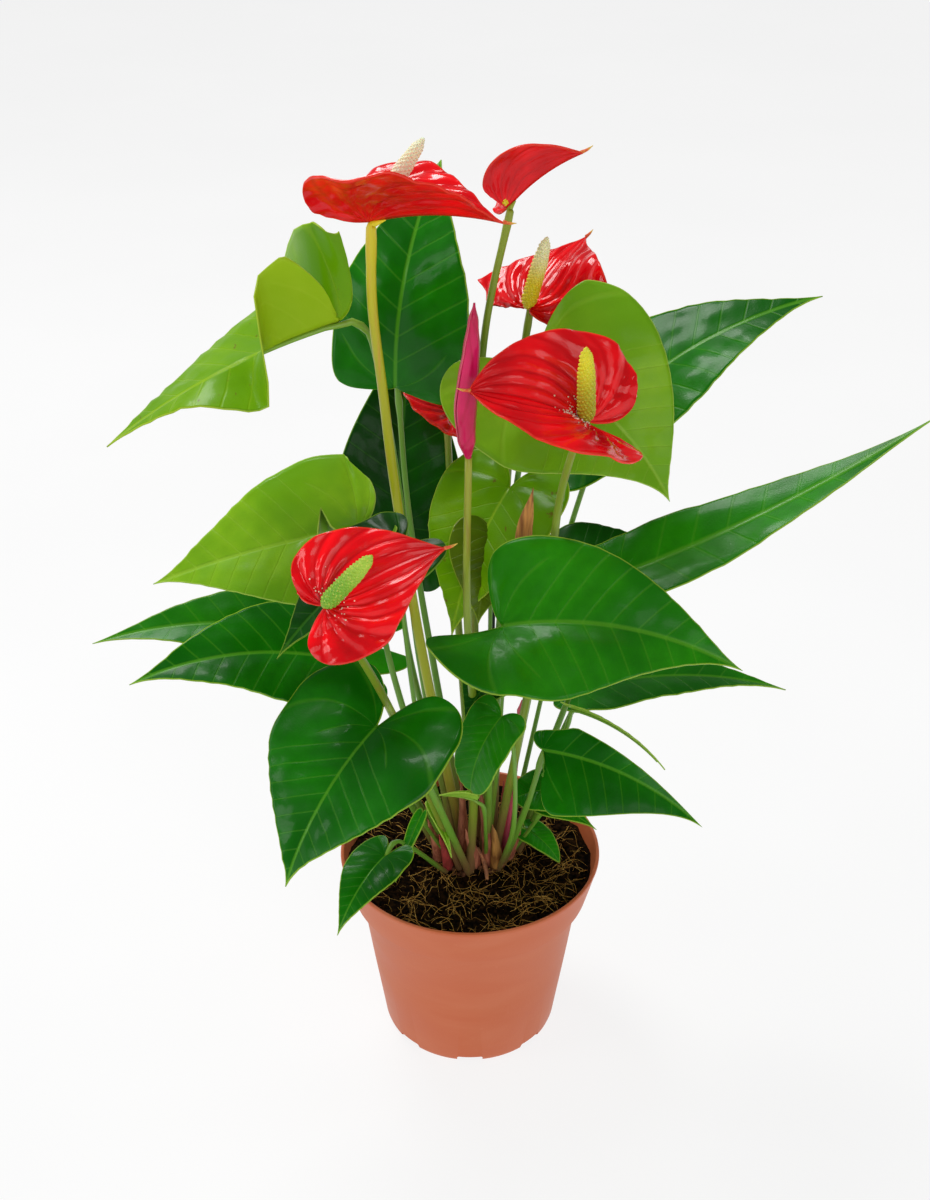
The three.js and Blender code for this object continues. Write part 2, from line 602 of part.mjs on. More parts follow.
// ---- woody crown the stems rise from ----
const crown = lathe([
  [0, SOIL_TOP + FIT_GAP],
  [CROWN_RADIUS, SOIL_TOP + FIT_GAP],
  [CROWN_RADIUS * 0.97, SOIL_TOP + FIT_GAP + CROWN_HEIGHT * 0.06],
  [CROWN_RADIUS * 0.75, SOIL_TOP + FIT_GAP + CROWN_HEIGHT * 0.43],
  [CROWN_RADIUS * 0.4, SOIL_TOP + FIT_GAP + CROWN_HEIGHT * 0.84],
  [0, SOIL_TOP + FIT_GAP + CROWN_HEIGHT],
], 24);
crown.translate(CROWN_CENTRE[0], CROWN_CENTRE[1], 0);
crown.computeVertexNormals();
addPart("crown", crown, BARK, 0.85);

export default group;
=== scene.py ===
"""A potted anthurium: glossy heart-shaped leaves and waxy red spathes in a clay-coloured nursery pot.

Plant sizes and places are in millimetres and degrees, as a grower would note them, and `metres`
turns them into the scene's metres. The frame's origin is on the table under the middle of the pot,
+Z is up and -Y is the front.
"""
from __future__ import annotations

import logging
import math
import random
from dataclasses import dataclass, field
from enum import Enum

import bmesh
import bpy
from mathutils import Matrix, Vector, noise

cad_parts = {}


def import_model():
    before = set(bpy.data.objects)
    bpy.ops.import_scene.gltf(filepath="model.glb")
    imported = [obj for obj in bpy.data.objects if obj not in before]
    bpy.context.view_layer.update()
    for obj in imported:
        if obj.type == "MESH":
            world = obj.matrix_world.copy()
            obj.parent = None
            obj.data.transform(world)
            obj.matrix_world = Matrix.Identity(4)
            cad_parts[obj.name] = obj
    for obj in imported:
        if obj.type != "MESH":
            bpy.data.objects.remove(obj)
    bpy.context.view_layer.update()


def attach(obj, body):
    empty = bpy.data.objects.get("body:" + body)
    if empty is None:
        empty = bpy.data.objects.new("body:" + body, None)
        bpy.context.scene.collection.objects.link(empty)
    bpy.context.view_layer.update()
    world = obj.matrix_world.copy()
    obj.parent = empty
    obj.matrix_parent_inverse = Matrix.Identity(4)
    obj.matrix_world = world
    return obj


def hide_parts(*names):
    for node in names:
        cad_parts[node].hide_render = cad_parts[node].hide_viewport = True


MM = 0.001
# Points nearer together than this, in metres, are one point.
NEAR = 1e-6
BODY = "root"
PEAT_SEED = 27
log = logging.getLogger("anthurium")

Point = tuple[float, float, float]
Pair = tuple[float, float]
Colour = tuple[float, float, float]
Socket = bpy.types.NodeSocket


def metres(point: Point) -> Vector:
    """Return a point given in millimetres as a vector in metres."""
    return Vector(point) * MM


def blend(a: float, b: float, share: float) -> float:
    """Return the value `share` of the way from `a` to `b`."""
    return a + (b - a) * share


def limit(value: float) -> float:
    """Return `value` kept between 0 and 1."""
    return min(1.0, max(0.0, value))


def ease(low: float, high: float, value: float) -> float:
    """Return a smooth step of `value`, from 0 at `low` to 1 at `high`."""
    share = limit((value - low) / (high - low))
    return share * share * (3.0 - 2.0 * share)


def bezier(points: list[Pair], share: float) -> Pair:
    """Return the point at `share` of a cubic curve in the flat.

    Args:
        points: The four control points.
        share: Place along the curve, from 0 to 1.

    Returns:
        The point as (across, along).
    """
    rest = 1.0 - share
    weights = (rest**3, 3 * rest * rest * share, 3 * rest * share * share, share**3)
    across = sum(w * p[0] for w, p in zip(weights, points))
    along = sum(w * p[1] for w, p in zip(weights, points))
    return across, along


# ---------------------------------------------------------------- node helper


class Graph:
    """Adds and links the nodes of one material."""

    def __init__(self, name: str) -> None:
        """Start an empty node tree with a Principled shader and its output.

        Args:
            name: The material's name.
        """
        self.material = bpy.data.materials.new(name)
        self.material.use_nodes = True
        self.tree = self.material.node_tree
        self.tree.nodes.clear()
        output = self.tree.nodes.new("ShaderNodeOutputMaterial")
        self.shader = self.tree.nodes.new("ShaderNodeBsdfPrincipled")
        self.link(self.shader.outputs["BSDF"], output.inputs["Surface"])

    def link(self, source: Socket, target: Socket) -> None:
        """Join one socket to another."""
        self.tree.links.new(source, target)

    def feed(self, target: Socket, value: object) -> None:
        """Link a socket to an input, or set a plain value on it.

        Args:
            target: The input.
            value: The output to link, or the value to set.
        """
        if isinstance(value, Socket):
            self.link(value, target)
        elif isinstance(value, tuple) and len(value) == 3 and target.type == "RGBA":
            target.default_value = (*value, 1.0)
        else:
            target.default_value = value

    def node(self, kind: str, result: int | str, inputs: dict[int | str, object],
             **options: str) -> Socket:
        """Add a node with its options and inputs.

        Args:
            kind: The node's type, without the word ShaderNode.
            result: Name or number of the wanted output.
            inputs: A socket or value for each input, by name or number.
            **options: The node's own settings.

        Returns:
            The wanted output.
        """
        node = self.tree.nodes.new(f"ShaderNode{kind}")
        for name, option in options.items():
            setattr(node, name, option)
        for name, value in inputs.items():
            self.feed(node.inputs[name], value)
        return node.outputs[result]

    def math(self, operation: str, first: object, second: object = 0.0) -> Socket:
        """Return the result of one sum on one or two values."""
        return self.node("Math", 0, {0: first, 1: second}, operation=operation)

    def times(self, first: object, second: object) -> Socket:
        """Return the product of two values."""
        return self.math("MULTIPLY", first, second)

    def plus(self, first: object, second: object) -> Socket:
        """Return the sum of two values."""
        return self.math("ADD", first, second)

    def minus(self, first: object, second: object) -> Socket:
        """Return the first value less the second."""
        return self.math("SUBTRACT", first, second)

    def step(self, value: object, low: float, high: float, start: float = 0.0,
             end: float = 1.0) -> Socket:
        """Return a smooth step of `value` between two limits.

        Args:
            value: The socket or number that is read.
            low: Where the step starts.
            high: Where the step ends.
            start: Result below `low`.
            end: Result above `high`.

        Returns:
            The result socket.
        """
        limits = {"From Min": low, "From Max": high, "To Min": start, "To Max": end}
        return self.node("MapRange", "Result", {"Value": value, **limits},
                         interpolation_type="SMOOTHSTEP")

    def mix(self, share: object, first: object, second: object) -> Socket:
        """Return a mix of two colours."""
        return self.node("Mix", "Result", {"Factor": share, "A": first, "B": second}, data_type="RGBA")

    def place(self) -> Socket:
        """Return the object coordinates."""
        return self.node("TexCoord", "Object", {})

    def attribute(self, name: str, result: str) -> Socket:
        """Return an output of a node that reads a vertex attribute of the piece."""
        return self.node("Attribute", result, {}, attribute_name=name)

    def stretch(self, vector: object, scale: Point) -> Socket:
        """Return `vector` scaled by a different number along each axis."""
        return self.node("Mapping", "Vector", {"Vector": vector, "Scale": scale})

    def cloud(self, vector: object, scale: float, detail: float = 3.0,
              distortion: float = 0.0) -> Socket:
        """Return the value of a noise texture.

        Args:
            vector: Where it is read.
            scale: Lumps per metre.
            detail: Layers of finer noise.
            distortion: How far it is stirred.

        Returns:
            The result socket, from 0 to 1.
        """
        return self.node("TexNoise", "Fac", {"Vector": vector, "Scale": scale, "Detail": detail,
                                             "Distortion": distortion})

    def cells(self, vector: object, scale: float) -> Socket:
        """Return the distance to the nearest of `scale` seeds per metre."""
        return self.node("TexVoronoi", "Distance", {"Vector": vector, "Scale": scale})

    def bump(self, height: object, depth: float, strength: float = 1.0) -> None:
        """Give the shader a bump.

        Args:
            height: The height socket.
            depth: Height of a full step, in metres.
            strength: Share of the bump that shows.
        """
        inputs = {"Strength": strength, "Distance": depth, "Height": height}
        self.link(self.node("Bump", "Normal", inputs), self.shader.inputs["Normal"])

    def surface(self, colour: object, roughness: object, **sockets: object) -> bpy.types.Material:
        """Set the shader's colour, roughness and plain sockets.

        Args:
            colour: Base colour socket or value.
            roughness: Roughness socket or value.
            **sockets: Socket names, with _ for a space, and their plain values.

        Returns:
            The finished material.
        """
        self.feed(self.shader.inputs["Base Color"], colour)
        self.feed(self.shader.inputs["Roughness"], roughness)
        for name, value in sockets.items():
            self.shader.inputs[name.replace("_", " ")].default_value = value
        return self.material


# Veins in each half of a sheet, and how steeply a leaf's side veins climb.
SPATHE_VEINS = 8.0
SIDE_VEINS = 9.0
BASAL_VEINS = 5.0
VEIN_SLOPE = 0.62
SIDE_VEINS_FROM = 0.12
SPECK_BROWN = (0.16, 0.1, 0.01)


def arc_phase(graph: Graph, across: object, along: object, veins: float) -> Socket:
    """Draw veins that arc from the joint to the tip.

    Args:
        graph: The material's node helper.
        across: Distance from the midrib, in lengths.
        along: Distance from the joint, in lengths.
        veins: Number of veins in each half.

    Returns:
        A phase that is whole along each vein.
    """
    squares = graph.plus(graph.times(across, across), graph.times(along, along))
    angle = graph.math("ARCTAN2", across, graph.minus(squares, along))
    turned = graph.minus(1.0, graph.math("DIVIDE", angle, math.pi))
    return graph.times(turned, veins)


@dataclass
class Veins:
    """Sockets of a sheet's midrib, its distance from a vein in phases, and from the rim in mm."""

    midrib: Socket
    wave: Socket
    rim: Socket


def read_veins(graph: Graph, spathe: bool) -> Veins:
    """Draw the veins of a leaf or a spathe.

    Args:
        graph: The material's node helper.
        spathe: True where every vein arcs from the joint to the tip. A leaf has side veins too.

    Returns:
        The vein pattern's sockets.
    """
    split = graph.node("SeparateXYZ", 0, {0: graph.attribute("flat", "Vector")}).node
    across = graph.math("ABSOLUTE", split.outputs[0])
    along = split.outputs[1]
    midrib = graph.step(across, 0.004, 0.014, 1.0, 0.0)
    if spathe:
        wave = graph.math("PINGPONG", arc_phase(graph, across, along, SPATHE_VEINS), 0.5)
        return Veins(midrib, wave, split.outputs[2])
    basal = graph.math("PINGPONG", arc_phase(graph, across, along, BASAL_VEINS), 0.5)
    slope = graph.minus(along, graph.times(across, VEIN_SLOPE))
    side = graph.math("PINGPONG", graph.times(slope, SIDE_VEINS), 0.5)
    upper = graph.step(slope, 0.0, SIDE_VEINS_FROM)
    lower = graph.minus(1.0, upper)
    wave = graph.plus(graph.times(side, upper), graph.times(basal, lower))
    return Veins(midrib, wave, split.outputs[2])


# ---------------------------------------------------------------- finishes
#
# In every finish a field whose name ends in _scale counts repeats per metre, and a depth is in metres.


@dataclass(frozen=True)
class LeafFinish:
    """Waxy upper side of a leaf blade, with veins and a thin pale margin."""

    name: str
    light: Colour
    deep: Colour
    vein: Colour
    margin: Colour
    roughness: float = 0.34
    vein_share: float = 0.32
    specks: float = 0.0
    patch_scale: float = 26.0
    mottle_scale: float = 260.0
    speck_scale: Point = (300.0, 140.0, 300.0)
    sheen_scale: float = 90.0
    grain_scale: float = 1100.0
    grain: float = 0.16
    groove: float = 0.7
    depth: float = 0.00035
    bump: float = 0.55
    coat: float = 0.1
    coat_roughness: float = 0.14
    specular: float = 0.1

    def build(self, graph: Graph) -> bpy.types.Material:
        """Draw the blade's upper side.

        Args:
            graph: The node helper of a new material.

        Returns:
            The finished material.
        """
        place = graph.place()
        veins = read_veins(graph, False)
        lines = graph.step(veins.wave, 0.01, 0.07, 1.0, 0.0)
        patches = graph.step(graph.cloud(place, self.patch_scale, 2.0), 0.34, 0.68)
        tissue = graph.mix(patches, self.deep, self.light)
        mottle = graph.step(graph.cloud(place, self.mottle_scale, 4.0), 0.3, 0.75, 0.0, 0.3)
        tissue = graph.mix(mottle, tissue, self.deep)
        swell = graph.step(veins.wave, 0.05, 0.45, 0.0, 0.28)
        tissue = graph.mix(swell, tissue, self.deep)
        tissue = graph.mix(graph.times(lines, self.vein_share * 0.55), tissue, self.vein)
        tissue = graph.mix(graph.times(veins.midrib, self.vein_share * 1.5), tissue, self.vein)
        specks = graph.cloud(graph.stretch(place, self.speck_scale), 1.0, 2.0)
        spots = graph.times(graph.step(specks, 0.7, 0.76), self.specks)
        tissue = graph.mix(spots, tissue, SPECK_BROWN)
        edge = graph.step(veins.rim, 0.15, 0.55, 0.85, 0.0)
        colour = graph.mix(edge, tissue, self.margin)
        sheen = graph.step(graph.cloud(place, self.sheen_scale), 0.3, 0.7, self.roughness - 0.05,
                           self.roughness + 0.1)
        grooves = graph.math("MAXIMUM", lines, veins.midrib)
        grain = graph.times(graph.cells(place, self.grain_scale), self.grain)
        graph.bump(graph.minus(grain, graph.times(grooves, self.groove)), self.depth, self.bump)
        return graph.surface(colour, sheen, Coat_Weight=self.coat, Coat_Roughness=self.coat_roughness,
                             Specular_IOR_Level=self.specular)


@dataclass(frozen=True)
class LeafBackFinish:
    """Paler, matt underside of a leaf blade, with its veins standing out."""

    name: str
    tissue: Colour
    vein: Colour
    tint_scale: float = 60.0
    grain_scale: float = 1300.0
    grain: float = 0.2
    depth: float = 0.0003
    bump: float = 0.6
    roughness: float = 0.5
    specular: float = 0.2

    def build(self, graph: Graph) -> bpy.types.Material:
        """Draw the blade's underside.

        Args:
            graph: The node helper of a new material.

        Returns:
            The finished material.
        """
        place = graph.place()
        veins = read_veins(graph, False)
        lines = graph.step(veins.wave, 0.01, 0.09, 1.0, 0.0)
        tint = graph.step(graph.cloud(place, self.tint_scale), 0.3, 0.75, 0.0, 0.35)
        tissue = graph.mix(tint, self.tissue, self.vein)
        ribs = graph.math("MAXIMUM", graph.times(lines, 0.25), graph.times(veins.midrib, 0.8))
        colour = graph.mix(ribs, tissue, self.vein)
        grain = graph.times(graph.cells(place, self.grain_scale), self.grain)
        graph.bump(graph.plus(ribs, grain), self.depth, self.bump)
        return graph.surface(colour, self.roughness, Specular_IOR_Level=self.specular)


@dataclass(frozen=True)
class SpatheFinish:
    """Lacquer-like spathe whose sunken veins run in arcs from the base to the tip, with painted shade in the
    vein grooves.
    """

    name: str
    bright: Colour
    # deep is the darker red of the random patches, and also the painted shade laid into the sunken vein
    # grooves.
    deep: Colour
    margin: Colour
    roughness: float = 0.2
    relief: float = 0.8
    patch_scale: float = 55.0
    pucker_scale: float = 210.0
    depth: float = 0.0009
    bump: float = 0.5
    coat: float = 0.42
    coat_roughness: float = 0.08
    specular: float = 0.14

    def build(self, graph: Graph) -> bpy.types.Material:
        """Draw the spathe's surface.

        Args:
            graph: The node helper of a new material.

        Returns:
            The finished material.
        """
        place = graph.place()
        veins = read_veins(graph, True)
        patches = graph.step(graph.cloud(place, self.patch_scale), 0.3, 0.72)
        tissue = graph.mix(patches, self.deep, self.bright)
        # Painted shade: the sunken vein grooves are mixed towards the deep red, as if shadowed.
        tissue = graph.mix(graph.step(veins.wave, 0.0, 0.16, 0.75, 0.0), tissue, self.deep)
        edge = graph.step(veins.rim, 0.2, 0.8, 0.5, 0.0)
        colour = graph.mix(edge, tissue, self.margin)
        pucker = graph.times(graph.cloud(place, self.pucker_scale, 2.0, 0.6), 0.5)
        height = graph.plus(graph.step(veins.wave, 0.0, 0.32), pucker)
        graph.bump(height, self.depth * self.relief, self.bump)
        return graph.surface(colour, self.roughness, Coat_Weight=self.coat,
                             Coat_Roughness=self.coat_roughness, Specular_IOR_Level=self.specular)


@dataclass(frozen=True)
class StemFinish:
    """Smooth round stem whose colour changes from its foot to its top."""

    name: str
    foot: Colour
    middle: Colour
    top: Colour
    blush: Colour
    roughness: float = 0.38
    streak_scale: Point = (320.0, 320.0, 22.0)
    depth: float = 0.0002
    bump: float = 0.4
    coat: float = 0.15
    coat_roughness: float = 0.25
    specular: float = 0.35

    def build(self, graph: Graph) -> bpy.types.Material:
        """Draw the stem's surface.

        Args:
            graph: The node helper of a new material.

        Returns:
            The finished material.
        """
        run = graph.attribute("run", "Fac")
        low = graph.mix(graph.step(run, 0.03, 0.22), self.foot, self.middle)
        colour = graph.mix(graph.step(run, 0.6, 0.98), low, self.top)
        streak = graph.cloud(graph.stretch(graph.place(), self.streak_scale), 1.0)
        colour = graph.mix(graph.step(streak, 0.5, 0.8, 0.0, 0.7), colour, self.blush)
        graph.bump(streak, self.depth, self.bump)
        return graph.surface(colour, self.roughness, Coat_Weight=self.coat,
                             Coat_Roughness=self.coat_roughness, Specular_IOR_Level=self.specular)


@dataclass(frozen=True)
class SpadixFinish:
    """Spadix whose colour runs from base to tip, with pale tips on its tiny flowers."""

    name: str
    base: Colour
    tip: Colour
    speck: Colour
    speck_scale: float = 900.0
    grain_scale: float = 1400.0
    depth: float = 0.0003
    bump: float = 0.5
    roughness: float = 0.55
    glow: float = 0.15
    glow_depth: float = 0.002

    def build(self, graph: Graph) -> bpy.types.Material:
        """Draw the spadix's surface.

        Args:
            graph: The node helper of a new material.

        Returns:
            The finished material.
        """
        place = graph.place()
        run = graph.attribute("run", "Fac")
        colour = graph.mix(graph.step(run, 0.35, 0.9), self.base, self.tip)
        dots = graph.step(graph.cells(place, self.speck_scale), 0.12, 0.4, 0.7, 0.0)
        colour = graph.mix(dots, colour, self.speck)
        graph.bump(graph.cells(place, self.grain_scale), self.depth, self.bump)
        return graph.surface(colour, self.roughness, Subsurface_Weight=self.glow,
                             Subsurface_Scale=self.glow_depth)


@dataclass(frozen=True)
class PotFinish:
    """Moulded plastic with faint flow marks and handling dust."""

    name: str
    body: Colour
    worn: Colour
    flow_scale: Point = (16.0, 16.0, 50.0)
    dust_scale: float = 420.0
    grain_scale: float = 900.0
    depth: float = 0.00012
    bump: float = 0.35
    specular: float = 0.22

    def build(self, graph: Graph) -> bpy.types.Material:
        """Draw the plastic's surface.

        Args:
            graph: The node helper of a new material.

        Returns:
            The finished material.
        """
        place = graph.place()
        flow = graph.cloud(graph.stretch(place, self.flow_scale), 1.0, 4.0, 0.8)
        colour = graph.mix(graph.step(flow, 0.35, 0.75, 0.0, 0.5), self.body, self.worn)
        dust = graph.step(graph.cloud(place, self.dust_scale, 5.0), 0.62, 0.8, 0.0, 0.25)
        colour = graph.mix(dust, colour, self.worn)
        rough = graph.step(flow, 0.3, 0.7, 0.4, 0.52)
        graph.bump(graph.cloud(place, self.grain_scale), self.depth, self.bump)
        return graph.surface(colour, rough, Specular_IOR_Level=self.specular)


@dataclass(frozen=True)
class EarthFinish:
    """Crumbly organic matter, with two tones and a rough, dull surface."""

    name: str
    dark: Colour
    light: Colour
    grain_scale: float = 500.0
    depth: float = 0.0008
    bump: float = 0.8
    roughness: float = 0.85
    specular: float = 0.04

    def build(self, graph: Graph) -> bpy.types.Material:
        """Draw soil, fibres or bark.

        Args:
            graph: The node helper of a new material.

        Returns:
            The finished material.
        """
        grains = graph.cloud(graph.place(), self.grain_scale, 6.0)
        colour = graph.mix(graph.step(grains, 0.38, 0.72), self.dark, self.light)
        graph.bump(grains, self.depth, self.bump)
        return graph.surface(colour, self.roughness, Specular_IOR_Level=self.specular)


@dataclass(frozen=True)
class PaperyFinish:
    """Dry skin of a sheath or a root, with lengthwise fibres and darker streaks."""

    name: str
    dry: Colour
    dark: Colour
    fibre_scale: Point = (600.0, 600.0, 40.0)
    depth: float = 0.0005
    bump: float = 0.8
    roughness: float = 0.72

    def build(self, graph: Graph) -> bpy.types.Material:
        """Draw the dry skin.

        Args:
            graph: The node helper of a new material.

        Returns:
            The finished material.
        """
        fibres = graph.cloud(graph.stretch(graph.place(), self.fibre_scale), 1.0, 4.0)
        colour = graph.mix(graph.step(fibres, 0.35, 0.7), self.dark, self.dry)
        graph.bump(fibres, self.depth, self.bump)
        return graph.surface(colour, self.roughness)


class Finish(Enum):
    """Every finish in the scene. A member's value builds its material."""

    DARK_LEAF = LeafFinish("dark_leaf", (0.01, 0.2, 0.001), (0.003, 0.11, 0.0005),
                           (0.1, 0.36, 0.015), (0.3, 0.5, 0.03), 0.34, 0.42)
    SHADED_LEAF = LeafFinish("shaded_leaf", (0.006, 0.11, 0.002), (0.002, 0.045, 0.001),
                             (0.05, 0.22, 0.01), (0.2, 0.36, 0.03))
    GREEN_LEAF = LeafFinish("green_leaf", (0.022, 0.26, 0.002), (0.008, 0.15, 0.001),
                            (0.12, 0.38, 0.02), (0.3, 0.48, 0.04))
    PALE_LEAF = LeafFinish("pale_leaf", (0.24, 0.48, 0.012), (0.14, 0.36, 0.006),
                           (0.34, 0.56, 0.05), (0.4, 0.6, 0.08), 0.42, 0.25)
    OLIVE_LEAF = LeafFinish("olive_leaf", (0.12, 0.2, 0.003), (0.06, 0.12, 0.002),
                            (0.2, 0.3, 0.02), (0.3, 0.42, 0.03))
    YOUNG_LEAF = LeafFinish("young_leaf", (0.2, 0.42, 0.002), (0.12, 0.32, 0.001),
                            (0.36, 0.56, 0.02), (0.42, 0.58, 0.04), 0.36, 0.3, 0.8)
    DARK_BACK = LeafBackFinish("dark_leaf_back", (0.1, 0.28, 0.02), (0.2, 0.4, 0.05))
    PALE_BACK = LeafBackFinish("pale_leaf_back", (0.26, 0.5, 0.04), (0.36, 0.58, 0.08))
    YOUNG_BACK = LeafBackFinish("young_leaf_back", (0.3, 0.5, 0.003), (0.38, 0.56, 0.02))
    # A spathe finish's second colour is its darker red, which also serves as painted shade in the vein
    # grooves.
    RED_SPATHE = SpatheFinish("red_spathe", (1.0, 0.001, 0.006), (0.66, 0.0, 0.004), (0.9, 0.06, 0.02))
    RED_BACK = SpatheFinish("red_spathe_back", (0.95, 0.001, 0.006), (0.6, 0.0, 0.004),
                            (0.85, 0.06, 0.02), 0.26, 0.7)
    PINK_SPATHE = SpatheFinish("furled_spathe", (0.75, 0.012, 0.13), (0.5, 0.004, 0.06),
                               (0.8, 0.2, 0.25), 0.28)
    GREEN_STEM = StemFinish("green_stem", (0.28, 0.16, 0.06), (0.14, 0.32, 0.03), (0.26, 0.46, 0.04),
                            (0.2, 0.26, 0.03))
    GOLDEN_STALK = StemFinish("golden_stalk", (0.26, 0.18, 0.05), (0.44, 0.46, 0.015), (0.78, 0.64, 0.015),
                              (0.66, 0.3, 0.06))
    OLIVE_STALK = StemFinish("olive_stalk", (0.26, 0.14, 0.06), (0.2, 0.3, 0.02), (0.34, 0.4, 0.03),
                             (0.32, 0.2, 0.04))
    CREAM_SPADIX = SpadixFinish("cream_spadix", (0.92, 0.76, 0.56), (0.96, 0.92, 0.6), (0.96, 0.92, 0.78))
    YELLOW_SPADIX = SpadixFinish("yellow_spadix", (0.86, 0.64, 0.005), (0.94, 0.86, 0.5), (0.92, 0.76, 0.14))
    OLIVE_SPADIX = SpadixFinish("olive_spadix", (0.46, 0.46, 0.015), (0.8, 0.72, 0.02), (0.78, 0.7, 0.08))
    GREEN_SPADIX = SpadixFinish("green_spadix", (0.2, 0.46, 0.02), (0.42, 0.62, 0.05), (0.8, 0.74, 0.12))
    TAIL = SpadixFinish("spathe_tail", (0.72, 0.1, 0.02), (0.72, 0.5, 0.06), (0.7, 0.4, 0.06))
    ROOT = PaperyFinish("aerial_root", (0.5, 0.2, 0.08), (0.2, 0.07, 0.03))
    ROSY = PaperyFinish("rosy_sheath", (0.62, 0.06, 0.06), (0.32, 0.04, 0.03))
    POT = PotFinish("clay_plastic", (0.56, 0.13, 0.048), (0.62, 0.2, 0.1))
    SOIL = EarthFinish("peat", (0.002, 0.001, 0.0005), (0.026, 0.011, 0.003))
    FIBRE = EarthFinish("coir", (0.42, 0.2, 0.04), (0.86, 0.54, 0.15), 900.0, 0.0002)
    BARK = EarthFinish("crown_bark", (0.04, 0.016, 0.008), (0.24, 0.1, 0.05), 300.0)
    SHEATH = PaperyFinish("dry_sheath", (0.62, 0.3, 0.07), (0.26, 0.1, 0.02))
    BRACT = PaperyFinish("red_brown_bract", (0.62, 0.22, 0.12), (0.3, 0.08, 0.04))
    STAKE = PotFinish("stake_plastic", (0.006, 0.012, 0.009), (0.02, 0.03, 0.024))

    @property
    def material(self) -> bpy.types.Material:
        """Return the finish's material, built once."""
        name = f"{self.value.name}_finish"
        return bpy.data.materials.get(name) or self.value.build(Graph(name))


# ---------------------------------------------------------------- piece helpers


def finish_piece(name: str, mesh: bmesh.types.BMesh, finishes: list[Finish],
                 nodes: list[str]) -> bpy.types.Object:
    """Turn a bmesh into a piece of the plant.

    Args:
        name: The piece's name.
        mesh: The finished bmesh, in metres; it is freed here.
        finishes: One finish for each material index.
        nodes: CAD nodes that the piece stands for.

    Returns:
        The new object.
    """
    data = bpy.data.meshes.new(name)
    mesh.to_mesh(data)
    mesh.free()
    data.polygons.foreach_set("use_smooth", [True] * len(data.polygons))
    piece = bpy.data.objects.new(name, data)
    for finish in finishes:
        data.materials.append(finish.material)
    bpy.context.collection.objects.link(piece)
    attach(piece, BODY)
    if nodes:
        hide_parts(*nodes)
    log.info("%s: %d faces", name, len(data.polygons))
    return piece


FINE_STEPS = 24


def spline(points: list[Vector], count: int) -> list[Vector]:
    """Return evenly spaced points of a smooth curve through `points`.

    Args:
        points: The points the curve passes, in order.
        count: Number of stretches.

    Returns:
        `count` + 1 points.
    """
    ends = [points[0] * 2 - points[1], *points, points[-1] * 2 - points[-2]]
    fine: list[Vector] = []
    for k in range(1, len(ends) - 2):
        p0, p1, p2, p3 = ends[k - 1:k + 3]
        for i in range(FINE_STEPS):
            t = i / FINE_STEPS
            bend = (p1 * 2 + (p2 - p0) * t + (p0 * 2 - p1 * 5 + p2 * 4 - p3) * t * t
                    + (p1 * 3 - p0 - p2 * 3 + p3) * t**3)
            fine.append(bend * 0.5)
    fine.append(points[-1].copy())
    lengths = [0.0]
    for a, b in zip(fine, fine[1:]):
        lengths.append(lengths[-1] + (b - a).length)
    spaced = []
    k = 0
    for i in range(count + 1):
        goal = lengths[-1] * i / count
        while k < len(fine) - 2 and lengths[k + 1] < goal:
            k += 1
        span = lengths[k + 1] - lengths[k]
        spaced.append(fine[k].lerp(fine[k + 1], limit((goal - lengths[k]) / span) if span else 0.0))
    return spaced


def frames_along(path: list[Vector]) -> list[Matrix]:
    """Set a frame at each point of a path, without twist.

    Args:
        path: Points of the middle line, in metres.

    Returns:
        One matrix for each point, whose Z axis follows the path.
    """
    frames = []
    side = Vector((1.0, 0.0, 0.0))
    for k, point in enumerate(path):
        ahead = (path[min(k + 1, len(path) - 1)] - path[max(k - 1, 0)]).normalized()
        side = (side - ahead * side.dot(ahead)).normalized()
        other = ahead.cross(side)
        basis = Matrix((side, other, ahead)).transposed().to_4x4()
        frames.append(Matrix.Translation(point) @ basis)
    return frames


def edges_of(verts: list[bmesh.types.BMVert]) -> list[bmesh.types.BMEdge]:
    """Return the edges that meet the vertices, each once and always in the same order."""
    return list(dict.fromkeys(edge for vert in verts for edge in vert.link_edges))


def tube(mesh: bmesh.types.BMesh, path: list[Vector], radii: list[float], sides: int) -> None:
    """Add a closed round tube to `mesh`, with its run from foot to top stored on its vertices.

    Args:
        mesh: The bmesh that gains the tube.
        path: Points of the middle line, in metres.
        radii: Radius at each point, in metres.
        sides: Sides of the section.
    """
    run = mesh.verts.layers.float.get("run") or mesh.verts.layers.float.new("run")
    frames = frames_along(path)
    ring = bmesh.ops.create_circle(mesh, segments=sides, radius=1.0)["verts"]
    edges = edges_of(ring)
    made = list(ring)
    placed = frames[0] @ Matrix.Scale(radii[0], 4)
    bmesh.ops.transform(mesh, matrix=placed, verts=ring)
    for k in range(1, len(path)):
        grown = bmesh.ops.extrude_edge_only(mesh, edges=edges)["geom"]
        ring = [item for item in grown if isinstance(item, bmesh.types.BMVert)]
        edges = [item for item in grown if isinstance(item, bmesh.types.BMEdge)]
        following = frames[k] @ Matrix.Scale(radii[k], 4)
        bmesh.ops.transform(mesh, matrix=following @ placed.inverted(), verts=ring)
        placed = following
        for vert in ring:
            vert[run] = k / (len(path) - 1)
        made.extend(ring)
    rims = [edge for edge in edges_of(made) if edge.is_boundary]
    bmesh.ops.holes_fill(mesh, edges=rims, sides=0)
    faces = dict.fromkeys(face for vert in made for face in vert.link_faces)
    bmesh.ops.recalc_face_normals(mesh, faces=list(faces))


